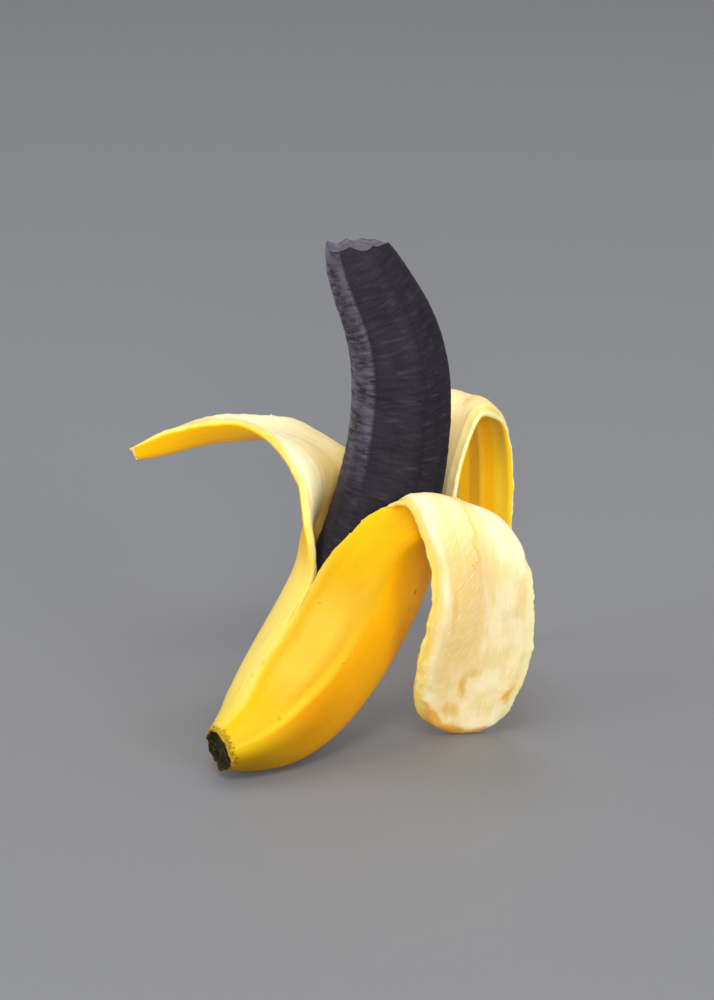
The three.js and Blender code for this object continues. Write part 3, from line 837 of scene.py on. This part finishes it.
# %% The cup of the peel
STRIP_COLUMNS = 48
CUP_ROWS = 96
HOLLOW_ROWS = 40
CLOSED = dict(edge=30, tip=60)  # the closed part lies far from any torn edge or tip
SCAR_RINGS = [
    (1.22, -0.5, -0.3), (1.1, -0.45, -0.7), (1, 0.1, -1), (0.9, 0.9, -1), (0.75, 1.1, -1),
    (0.55, 0.7, -1), (0.3, 0.4, -1),
]
# Lumps as a share of a ring's size, roughness in mm, and the share of the radius inside which the
# scar is smooth.
SCAR_LUMP, SCAR_ROUGH, SCAR_CALM = 0.14, 0.7, 0.4


def strip_angles(strip):
    """The angle of each column of a strip, its far edge left to the next strip."""
    return np.linspace(strip["from_angle"], strip["to_angle"], STRIP_COLUMNS + 1)[:-1]


def build_cup(shell):
    """The tube outside and in, from the blossom end to the rim, and the scar that closes it."""
    angle = np.concatenate([strip_angles(strip) for strip in STRIPS.values()])[None, :]
    rim = tear_start(angle)

    # Three rows past the rim keep the normals there true, and are left out of the mesh.
    s = rim * np.linspace(0, 1 + 3 / CUP_ROWS, CUP_ROWS + 4)[:, None]
    skin = tube(s, angle)
    skin = skin + normals(skin) * skin_relief(s, angle)[..., None]
    keep = slice(0, CUP_ROWS + 1)
    outer = shell.add(skin[keep], grown=grown(s, angle)[keep], depth=0, **CLOSED)
    shell.sheet(outer, closed=True)

    s = CUP_BOTTOM + (rim - CUP_BOTTOM) * np.linspace(0, 1, HOLLOW_ROWS + 1)[1:, None] ** 1.5
    hollow = tube(s, angle, PEEL, round_end(s, CUP_BOTTOM))
    inner = shell.add(hollow, grown=grown(s, angle), depth=1, **CLOSED)
    shell.sheet(inner[::-1], closed=True)
    bottom = line_point(np.array([CUP_BOTTOM]))
    shell.cap(inner[0], shell.add(bottom, grown=(0, 0, CUP_BOTTOM), depth=1, **CLOSED)[0])

    # The scar: every ring is lumpy all round, and all but the innermost one are rough too.
    turn = np.radians(angle)[..., None]
    centre, along, front, side = (v[None] for v in station(np.array([0.0])))
    lumps = np.maximum(hills(angle / 360 * 12, 3.0, seed=9, wrap=12), -0.2)
    ring = (np.cos(turn) * front + np.sin(turn) * side) * (1 + SCAR_LUMP * lumps)[..., None]
    share, sink, depth = np.array(SCAR_RINGS).T[..., None]
    row = np.arange(len(SCAR_RINGS))[:, None]
    rough = hills(angle / 360 * 26, row * 1.3, seed=8, wrap=26) * SCAR_ROUGH - lumps
    lift = sink + rough * (share > SCAR_CALM)
    pit = centre + ring * (share * SCAR_RADIUS)[..., None] + along * lift[..., None]
    scar = shell.add(pit, grown=pit - centre, depth=depth, **CLOSED)
    shell.sheet(np.concatenate([scar[::-1], outer[:1]]), closed=True)
    middle = shell.add(centre[0] + along[0] * 0.4, grown=(0, 0, 0), depth=-1, **CLOSED)
    shell.cap(scar[-1][::-1], middle[0])
    return outer[-1], inner[-1], skin[CUP_ROWS], hollow[-1]


print("columns round the cup:", len(STRIPS) * STRIP_COLUMNS)

# %% [markdown]
# Each strip is carried on from the cup's last row as a ring: over the skin, down one torn edge, back
# over the pith and up the other edge. Because the rings start on the cup's own points, the whole peel
# is one closed skin, with no joint to hide. A torn edge is ragged, since fibres part unevenly, so the
# points near it wander by about half a millimetre.

# %% The strips of the peel
WALL = 5
WALL_STEPS = np.arange(1, WALL) / WALL
ROW_STEP = 1.05
END_TRIM = 1.3
WANDER_SLOW, WANDER_QUICK, WANDER_TIP, BULGE = 0.4, 0.3, 0.8, 0.35
THIN_TIP, THIN_NECK = 0.6, 0.2  # the share of the thickness that is gone at a strip's end


def wander(s, depth, seed):
    """How far a torn edge strays outwards, in mm: slow and quick hills, and a bulge half way down."""
    slow, quick = hills(s / 5, 0, seed), hills(s / 1.7, depth * 3, seed + 2)
    return WANDER_SLOW * slow + WANDER_QUICK * quick + BULGE * np.sin(np.pi * depth)


print("a torn edge wanders, mm:", wander(np.array([100.0, 103.0, 106.0]), 0.5, seed=20).round(2))


def build_strip(shell, strip, outer_root, inner_root, start_wall, end_wall, seed):
    """Rings of skin, torn edge, pith and torn edge, from the cup's rim to the strip's end."""
    skin, kept, total = strip_skin(**strip)
    total = total - END_TRIM
    flat = np.linspace(0, 1, STRIP_COLUMNS + 1)
    wall = WALL_STEPS
    across = np.concatenate([flat, np.ones_like(wall), flat[::-1], np.zeros_like(wall)])[None, :]
    depth = np.concatenate([np.zeros_like(flat), wall, np.ones_like(flat), wall[::-1]])[None, :]
    angle, root = across_strip(strip["from_angle"], strip["to_angle"], across)
    rows = int((total - root.min()) / ROW_STEP)
    s = root + (total - root) * np.linspace(0, 1, rows + 1)[:, None]

    # Ragged tears: in the outer fifths of the width the points stray across, and past the edge too.
    free = s - root
    share, margin, width = kept(s, across)
    near_low, near_high = np.clip(1 - across * 5, 0, 1), np.clip(across * 5 - 4, 0, 1)
    loose = smooth(0, 14, free) * smooth(0, 10, total - s)
    ragged = [wander(s, depth, seed + k) for k in (0, 1)]
    torn = across - (near_low * ragged[0] - near_high * ragged[1]) * loose / width
    within = np.clip(torn, 0, 1)
    inward = np.clip(torn, 0.01, 0.99)
    over = unit(skin(s, inward + 0.01) - skin(s, inward - 0.01))
    place = skin(s, within) + over * ((torn - within) * width)[..., None]
    outward = facing(skin, s, within, total)

    thin = 1 - (THIN_TIP if strip["end"] == 1 else THIN_NECK) * smooth(total - 7, total, s)
    ends = hills(across * 9, 0, seed + 7) * smooth(total - 5, total, s)
    height = (1 - depth) * skin_relief(s, angle) * (1 - smooth(total - 40, total, s) * 0.6)
    height = height - depth * thin * share * (PEEL - pith_relief(s, angle) * smooth(0, 10, free))
    along = unit(skin(np.minimum(s + 1, total), within) - skin(s - 1, within))
    ring = place + outward * height[..., None] + along * (ends * WANDER_TIP)[..., None]

    notes = dict(grown=grown(s, angle), depth=depth * share, edge=margin, tip=total - s)
    first = np.concatenate([outer_root, end_wall, inner_root[::-1], start_wall[::-1]])[None, :]
    later = shell.add(ring[1:], **{note: value[1:] for note, value in notes.items()})
    numbers = np.concatenate([first, later])
    shell.sheet(numbers, closed=True)

    # The end: the last ring is closed by a grid between its skin side and its pith side.
    corners = np.cumsum([len(flat), len(wall), len(flat)])
    top, right, bottom, left = np.split(numbers[-1], corners)
    skin_side, _, pith_side, _ = np.split(ring[-1], corners)
    skin_side, pith_side = skin_side[1:-1], pith_side[-2:0:-1]
    inside = skin_side + (pith_side - skin_side) * wall[:, None, None]
    notes = dict(grown=grown(total, angle[0, 1:STRIP_COLUMNS]), depth=wall[:, None], edge=0, tip=0)
    between = np.column_stack([left[::-1], shell.add(inside, **notes), right])
    shell.sheet(np.vstack([top, between, bottom[::-1]]))


# %% [markdown]
# The cup comes first, then the short wall at the bottom of each tear, which two strips share, and then
# the strips. At last, whatever would dip into the floor is pressed flat just above it, as the soft
# peel is by its own weight.

# %% The whole peel
JUST_ABOVE_FLOOR = 0.05


def build_peel():
    """The cup, the walls at the tears and the three strips in one shell."""
    shell = Shell("grown", "depth", "edge", "tip")
    outer_rim, inner_rim, outside, inside = build_cup(shell)
    tears = []
    for k, strip in enumerate(STRIPS.values()):
        column, angle = k * STRIP_COLUMNS, strip["from_angle"]
        points = outside[column] + (inside[column] - outside[column]) * WALL_STEPS[:, None]
        place = grown(float(tear_start(angle)), angle)
        tears.append(shell.add(points, grown=place, depth=WALL_STEPS, edge=0, tip=60))
    for k, strip in enumerate(STRIPS.values()):
        columns = (k * STRIP_COLUMNS + np.arange(STRIP_COLUMNS + 1)) % len(outer_rim)
        walls = tears[k], tears[(k + 1) % len(tears)]
        build_strip(shell, strip, outer_rim[columns], inner_rim[columns], *walls, seed=20 + 10 * k)
    for points in shell.points:
        points[:, 2] = np.maximum(points[:, 2], JUST_ABOVE_FLOOR)
    return shell.piece("plantain_peel", peel_material)


peel_piece = build_peel()
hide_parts("peel")
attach(peel_piece, "root")

# %% [markdown]
# ## Strings and frays
# Thin strings run lengthwise inside a peel, where they fed the fruit. Some stay on the pith when it is
# torn off, one of them loose and kinked, and a torn edge ends in short frays. Hair particles could
# stand in for them, but real tubes catch the light and go along when the model is exported.

# %% Finish of the strings
def strings_finish():
    """Cream, turning golden by each strand's own tint."""
    strings = Finish("plantain_strings")
    uneven = strings.noise(strings.note("grown"), (900, 900, 900), detail=2)
    pale = strings.mix(strings.step(uneven, 0.35, 0.65), (250, 234, 180), (255, 248, 222))
    colour = strings.mix(strings.note("tint"), pale, (240, 198, 84))
    return strings.shade(
        Base_Color=colour, Roughness=0.6, Normal=strings.bump(uneven, 0.0001),
        Subsurface_Weight=0.3, Subsurface_Radius=(1.0, 0.7, 0.3), Subsurface_Scale=0.002,
    )


strings_material = strings_finish()
print(len(strings_material.node_tree.nodes), "nodes in the strings' finish")

# %% [markdown]
# A string lies on the pith, so its line is asked for as a distance along a strip and a place across
# it. A fray starts on a torn edge and leaves it in a direction of its own. The kinked string follows
# chosen places, each a distance in mm and an angle.

# %% Where the strings and frays lie
KINKED = [
    (128, 4), (130, 7), (133, 6.5), (135, 10), (138, 9), (141.7, 13), (145.5, 16), (148, 11.5),
    (152, 18.5), (155, 9), (158, 11),
]
STRAND_ROWS, STRAND_SIDES = 24, 6
STRINGS_PER_STRIP, STRING_LIFT = 4, 0.02
STRING_LENGTH, STRING_THICK, STRING_TINT = (22, 60), (0.08, 0.13), (0.1, 0.5)
FRAYS_PER_EDGE, FRAY_UP, FRAY_PLACE = 36, np.array([0.3, 0.2, 1.0]), np.array([10.0, 10.0, 100.0])
FRAY_LENGTH, FRAY_THICK, FRAY_TINT = (0.15, 0.65), (0.12, 0.28), (0.1, 0.7)
KINKED_LIFT, KINKED_THICK, KINKED_TINT = 0.12, 0.42, 0.85


def lengthwise(strip, draw, count):
    """Strings along the pith, each with a start, a length and a place across that sways slowly."""
    total = strip_skin(**strip)[-1]
    t = np.linspace(0, 1, STRAND_ROWS)
    start = draw.uniform(96, total - 70, (count, 1))
    s = start + draw.uniform(*STRING_LENGTH, (count, 1)) * t
    sway = 0.03 * hills(s / 11, np.arange(count)[:, None] * 7, seed=31)
    across = draw.uniform(0.12, 0.88, (count, 1)) + sway
    return s, across, draw.uniform(*STRING_THICK, count), draw.uniform(*STRING_TINT, count)


def on_pith(strip, s, across, lift):
    """The pith's surface, the skin less its thickness along the normal, raised by a lift in mm."""
    skin, kept, total = strip_skin(**strip)
    angle, _ = across_strip(strip["from_angle"], strip["to_angle"], across)
    outward = facing(skin, s, across, total)
    depth = kept(s, across)[0] * (PEEL - pith_relief(s, angle)) + lift
    return skin(s, across) - outward * depth[..., None], -outward, grown(s, angle)


def frays(strip, seed, draw):
    """Short lines that leave both torn edges outwards, each turned and bent by a random amount."""
    skin, kept, total = strip_skin(**strip)
    lines = []
    for edge, sign in ((0, -1), (1, 1)):
        s = draw.uniform(92, min(170, total - 12), (FRAYS_PER_EDGE, 1))
        depth = draw.uniform(0.45, 1, s.shape)
        rim = np.full(s.shape, float(edge))
        over = unit(skin(s, np.abs(rim - 0.01)) - skin(s, np.abs(rim - 0.03)))
        outward = facing(skin, s, rim, total)
        along = np.cross(over * sign, outward)
        root = skin(s, rim) + over * (wander(s, depth, seed + edge) - BULGE)[..., None]
        root = root - outward * (depth * kept(s, rim)[0] * PEEL)[..., None]
        t = np.linspace(0, 1, STRAND_ROWS)[None, :, None]
        lean, rise, bend = (draw.uniform(-1, 1, (FRAYS_PER_EDGE, 1, 1)) for _ in range(3))
        length = draw.uniform(*FRAY_LENGTH, (FRAYS_PER_EDGE, 1, 1))
        line = root + t * length * (over + 0.8 * lean * along - 0.5 * rise * outward)
        lines.append(line + 0.4 * bend * t**2 * along)
    return np.concatenate(lines)


print(2 * FRAYS_PER_EDGE * len(STRIPS), "frays")

# %% [markdown]
# All strands have the same shape, a thin tube that tapers along a line, so one array holds them all:
# strands by rows by sides. A round bevel on curves would do the same, one object for each strand.

# %% Tubes along many lines
INSIDE_BOX = 0.1


def add_strands(shell, line, up, thick, place, tint):
    """Rings round every line: cos and sin of the turn times two vectors square to it, tapered."""
    count, rows = line.shape[:2]
    low, high = (np.array(corner) * 1000 for corner in cad_box)
    ahead = unit(np.gradient(line, axis=1))
    side = unit(np.cross(ahead, up))
    over = np.cross(side, ahead)
    t = np.linspace(0, 1, rows)[None, :]
    reach = np.asarray(thick)[:, None] * (0.25 + 0.75 * np.sin(np.pi * t) ** 0.4)
    turn = (np.arange(STRAND_SIDES) / STRAND_SIDES * 2 * np.pi)[None, None, :, None]
    ring = np.cos(turn) * side[:, :, None] + np.sin(turn) * over[:, :, None]
    points = line[:, :, None] + ring * reach[..., None, None]
    points, line = (np.clip(each, low + INSIDE_BOX, high - INSIDE_BOX) for each in (points, line))
    around = np.broadcast_to(place[:, :, None], points.shape)
    numbers = shell.add(points, grown=around, tint=np.asarray(tint)[:, None, None])
    ends = [shell.add(line[:, k], grown=place[:, k], tint=tint) for k in (0, -1)]
    for k in range(count):
        shell.sheet(numbers[k], closed=True)
        shell.cap(numbers[k, 0][::-1], ends[0][k])
        shell.cap(numbers[k, -1], ends[1][k])


def build_strings():
    """A few strings on each strip, the frays of its two edges, and the kinked string."""
    shell = Shell("grown", "tint")
    draw = np.random.default_rng(5)
    for k, strip in enumerate(STRIPS.values()):
        s, across, thick, tint = lengthwise(strip, draw, STRINGS_PER_STRIP)
        line, up, place = on_pith(strip, s, across, STRING_LIFT)
        add_strands(shell, line, up, thick, place, tint)
        line = frays(strip, 20 + 10 * k, draw)
        thick, tint = (draw.uniform(*span, len(line)) for span in (FRAY_THICK, FRAY_TINT))
        add_strands(shell, line, FRAY_UP, thick, np.broadcast_to(FRAY_PLACE, line.shape), tint)
    front = STRIPS["front"]
    t = np.linspace(0, len(KINKED) - 1, 3 * STRAND_ROWS)
    s, angle = spline(controls_through(KINKED), t).T[:, None]
    across = (angle - front["from_angle"]) / (front["to_angle"] - front["from_angle"])
    line, up, place = on_pith(front, s, across, KINKED_LIFT)
    add_strands(shell, line, up, [KINKED_THICK], place, [KINKED_TINT])
    return shell.piece("plantain_strings", strings_material)


strings_piece = build_strings()
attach(strings_piece, "root")

# %% [markdown]
# ## The finish of the flesh
# The flesh is nearly black with a violet cast. It is dull and faintly fuzzy, and fine ripples run
# across it. One facet has a painted sheen, mottled and stronger towards the left. A thin dark seam
# runs beside each ridge. The bitten face is a lighter violet-grey. It could have a material of its own,
# but then its rim would be a hard line, so all of it is one finish, and the note called bite tells the
# bitten face from the sides.

# %% Finish of the flesh
SEAMS = [ridge + 11 for ridge in RIDGES]


def flesh_finish():
    """Dark sides with ripples, seams and a painted sheen on one facet, and a lighter face where it is
    bitten.
    """
    flesh = Finish("plantain_flesh")
    place, along, angle = flesh.on_fruit()
    bite = flesh.note("bite")
    ripples = flesh.noise(place, (110, 110, 700), detail=4, roughness=0.6)
    grain = flesh.noise(place, (1400, 1400, 1400), roughness=0.6)
    clouds = flesh.noise(place, (90, 90, 45), (5, 2, 1), detail=4, roughness=0.6)
    pulp = flesh.noise(place, (320, 320, 320), detail=5, roughness=0.6)

    mottle = flesh.step(clouds * 0.3 + ripples * 0.55 + grain * 0.25, 0.42, 0.66)
    # A painted sheen on one facet, broken by mottling and stronger towards the left.
    facet = flesh.step(angle, -27, -34) * flesh.step(angle, -140, -112)
    facet = facet * flesh.step(along, 0.112, 0.15) * mottle
    side = flesh.coats(
        flesh.mix(flesh.step(clouds, 0.3, 0.7), (28, 25, 32), (37, 33, 41)),
        (flesh.step(ripples, 0.52, 0.72) * 0.65, (57, 52, 62)),
        (flesh.step(ripples, 0.47, 0.32) * 0.5, (20, 18, 23)),
        (facet * (0.45 + 0.45 * flesh.step(angle, -45, -85)), (116, 108, 123)),
    )
    for seam in SEAMS:
        off = abs(angle - (seam - 360 * (seam > 180)) + (clouds - 0.5) * 8)
        side = flesh.mix(flesh.step(off, 2.2, 0.6) * 0.5, side, (27, 24, 30))
    side = flesh.mix(flesh.step(grain, 0.55, 0.75) * 0.16, side, (104, 97, 109))

    face = flesh.mix(flesh.step(pulp, 0.35, 0.7), (88, 82, 94), (112, 105, 118))
    height = ripples * 0.9 + grain * 0.35 + pulp * bite
    return flesh.shade(
        Base_Color=flesh.mix(bite, side, face), Roughness=0.62 + (grain - 0.5) * 0.3,
        Normal=flesh.bump(height, 0.00025), Specular_IOR_Level=0.14,
        Subsurface_Weight=0.04, Subsurface_Radius=(0.8, 0.5, 0.8), Subsurface_Scale=0.0015,
    )


flesh_material = flesh_finish()
print(len(flesh_material.node_tree.nodes), "nodes in the flesh's finish")

# %% [markdown]
# ## The flesh
# The flesh is the tube again, less the thickness of the peel and a little play. Ripples of about a
# quarter of a millimetre run across it, some two millimetres apart, over broader ones. They could be
# left to the bump, but light from the side shows the difference, so they are part of the shape.

# %% Ripples and seams of the flesh
FINE_RIPPLE, BROAD_RIPPLE, SEAM_DEPTH = 0.17, 0.1, 0.3


def flesh_relief(s, angle):
    """Ripples across the growth that bow a little, and a narrow seam beside each ridge, in mm."""
    s, angle = np.broadcast_arrays(s, angle)
    turned = angle + twist(s)
    bow = 1.3 * np.cos(np.radians(turned - 10) * 2) + 1.2 * hills(turned / 360 * 8, s / 30, seed=11, wrap=8)
    fine = hills(turned / 360 * 18, s + bow, seed=12, wrap=18)
    broad = hills(turned / 360 * 9, (s + bow) / 3.4, seed=13, wrap=9)
    amount = 0.65 + 0.35 * hills(turned / 360 * 9, s / 16, seed=14, wrap=9)
    ribbed = 1 + 0.7 * smooth(-26, -40, turned) * smooth(-130, -110, turned)
    seams = sum(np.exp(-((away(turned, seam) / 1.7) ** 2)) for seam in SEAMS)
    return (FINE_RIPPLE * fine + BROAD_RIPPLE * broad) * amount * ribbed - SEAM_DEPTH * seams


print("relief on a seam, mm:", flesh_relief(np.array(100.0), np.array(31.0)).round(2))

# %% [markdown]
# The top of the flesh ends at the plane of the bite. Between two cusps each tooth has scooped a
# shallow arc, which fades towards the middle. A boolean cut would need a second solid for each tooth.
# Here every column of points is simply ended where it meets the plane, and the face closes it with
# rings that shrink towards the middle.

# %% Shape of the flesh
BITE_NORMAL = unit(np.array([0.0, 0.07, 1.0]))
BITE_DISH, BITE_SCALLOP = 1.4, 1.3
BITE_CUSPS = [-8, 45, 90, 136, 161, 192, 238, 272]
BITE_COARSE, BITE_FINE, TOOTH_ARC = 0.22, 0.12, 0.5
CUSP_STEPS = 20
FLESH_ROWS = 560
BITE_RINGS = 26
ROUNDS = 14


def bite_edge():
    """The angle of each column, the distance where it meets the plane less an arc, and that arc."""
    cusps = np.array(BITE_CUSPS + [BITE_CUSPS[0] + 360.0])
    step = np.linspace(0, len(BITE_CUSPS), len(BITE_CUSPS) * CUSP_STEPS + 1)[:-1]
    angle = np.interp(step, np.arange(len(cusps)), cusps)
    span = np.diff(cusps)[step.astype(int)]
    scallop = BITE_SCALLOP * span / 50 * np.sin(np.pi * (step % 1))
    top = line_point(np.array(FRUIT_LENGTH))
    end = np.full_like(angle, FRUIT_LENGTH)
    for _ in range(ROUNDS):  # each takes away most of what is left above the plane
        above_plane = (tube(end, angle, PEEL + PLAY) - top) @ BITE_NORMAL
        end = end - 0.8 * above_plane
    return angle, end - scallop, scallop


def build_flesh():
    """The sides up to the bite, then the bitten face."""
    shell = Shell("grown", "bite")
    angle, end, scallop = bite_edge()
    s = FLESH_START + (end - FLESH_START) * np.linspace(0, 1, FLESH_ROWS + 1)[1:, None]
    side = tube(s, angle, PEEL + PLAY, round_end(s, FLESH_START))
    calm = smooth(FLESH_START, 40, s) * smooth(0, 2.5, end - s)
    side = side + normals(side) * (flesh_relief(s, angle) * calm)[..., None]
    around = shell.add(side, grown=grown(s, angle[None]), bite=0)
    shell.sheet(around, closed=True)
    foot = shell.add(line_point(np.array([FLESH_START])), grown=(0, 0, FLESH_START), bite=0)
    shell.cap(around[0][::-1], foot[0])

    rim = side[-1]
    hub = rim.mean(axis=0) - BITE_NORMAL * BITE_DISH
    share = np.linspace(1, 0, BITE_RINGS + 1)[1:-1, None] ** 0.8
    rough = BITE_COARSE * hills(angle / 360 * 40 * share, share * 9, seed=15)
    rough = rough + BITE_FINE * hills(angle / 9, share * 22, seed=16)
    tooth = -TOOTH_ARC * (scallop - scallop.mean()) * (share**4 - share)
    depth = -BITE_DISH * share * (1 - share) + (rough + tooth) * smooth(1, 0.93, share)
    face = hub + (rim - hub) * share[..., None] + BITE_NORMAL * depth[..., None]
    face = shell.add(face, grown=face - hub, bite=1)
    shell.sheet(np.concatenate([around[-1:], face]), closed=True)
    middle = shell.add(hub[None], grown=(0, 0, 0), bite=1)
    shell.cap(face[-1], middle[0])
    return shell.piece("plantain_flesh", flesh_material)


flesh_piece = build_flesh()
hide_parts("flesh")
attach(flesh_piece, "root")

# %% [markdown]
# ## Floor, light and camera
# A plain pale floor lets the colours speak, and shows where the fruit touches it. It is only a stage,
# so it stays out of the part.

# %% Floor
FLOOR_REACH = 4


def build_floor():
    """A flat square sheet that reaches four metres to each side of the fruit."""
    floor = Finish("pale_floor")
    floor.shade(Base_Color=tone(131, 132, 135), Roughness=0.6, Specular_IOR_Level=0.2)
    mesh = bpy.data.meshes.new("floor")
    corners = [(-1, -1, 0), (1, -1, 0), (1, 1, 0), (-1, 1, 0)]
    mesh.from_pydata([[FLOOR_REACH * c for c in corner] for corner in corners], [], [(0, 1, 2, 3)])
    mesh.materials.append(floor.material)
    piece = bpy.data.objects.new("floor", mesh)
    bpy.context.scene.collection.objects.link(piece)


build_floor()
print("the floor is", 2 * FLOOR_REACH, "m square")

# %% [markdown]
# Fruit looks dull under one hard lamp and flat under an even sky. Five soft lamps stand round it: the
# strongest high in front, one low in front, one on each side and a weaker one high behind. The grey
# surroundings fill the rest. The camera looks slightly down from the front, through a long lens that
# keeps the near strip from looking too large.

# %% Light and camera
TARGET = Vector((0.0105, -0.019, 0.0915))
ELEVATION = 18.0
DISTANCE = 1.019
LENS, SENSOR = 100, 36
SURROUNDINGS, SURROUNDINGS_STRENGTH = (0.9, 0.9, 0.92, 1), 0.57

# A lamp's name, its place and side in metres, and its power in watts.
LAMPS = [
    ("key", (-0.1, -2.33, 2.99), 1.08, 41),
    ("front", (0.21, -3.04, 0.92), 0.72, 37),
    ("right", (1.75, -2.25, 0.8), 1.3, 33),
    ("left", (-2.35, -1.25, 0.55), 1.0, 26),
    ("top", (-0.19, 0.56, 2.99), 1.44, 20),
]


def add_lamp(name, place, size, power):
    """A square area lamp that faces the fruit."""
    data = bpy.data.lights.new(name, "AREA")
    data.size, data.energy = size, power
    lamp = bpy.data.objects.new(name, data)
    lamp.location = place
    lamp.rotation_euler = (TARGET - Vector(place)).to_track_quat("-Z", "Y").to_euler()
    lamp.visible_camera = False
    bpy.context.scene.collection.objects.link(lamp)


for lamp in LAMPS:
    add_lamp(*lamp)

bpy.context.scene.view_settings.view_transform = "Standard"
world = bpy.data.worlds.new("studio")
bpy.context.scene.world = world
world.use_nodes = True
background = world.node_tree.nodes["Background"].inputs
background["Color"].default_value = SURROUNDINGS
background["Strength"].default_value = SURROUNDINGS_STRENGTH

camera_data = bpy.data.cameras.new("camera")
camera_data.lens, camera_data.sensor_width, camera_data.sensor_fit = LENS, SENSOR, "AUTO"
camera = bpy.data.objects.new("camera", camera_data)
tilt = np.radians(ELEVATION)
camera.location = TARGET + DISTANCE * Vector((0, -np.cos(tilt), np.sin(tilt)))
camera.rotation_euler = (np.pi / 2 - tilt, 0, 0)
bpy.context.scene.collection.objects.link(camera)
bpy.context.scene.camera = camera
print(len(LAMPS), "lamps, camera", DISTANCE, "m away, looking down", ELEVATION, "degrees")

# %% [markdown]
# ## Sizes
# The finished pieces should fill the same box as the packed model, apart from small reliefs.
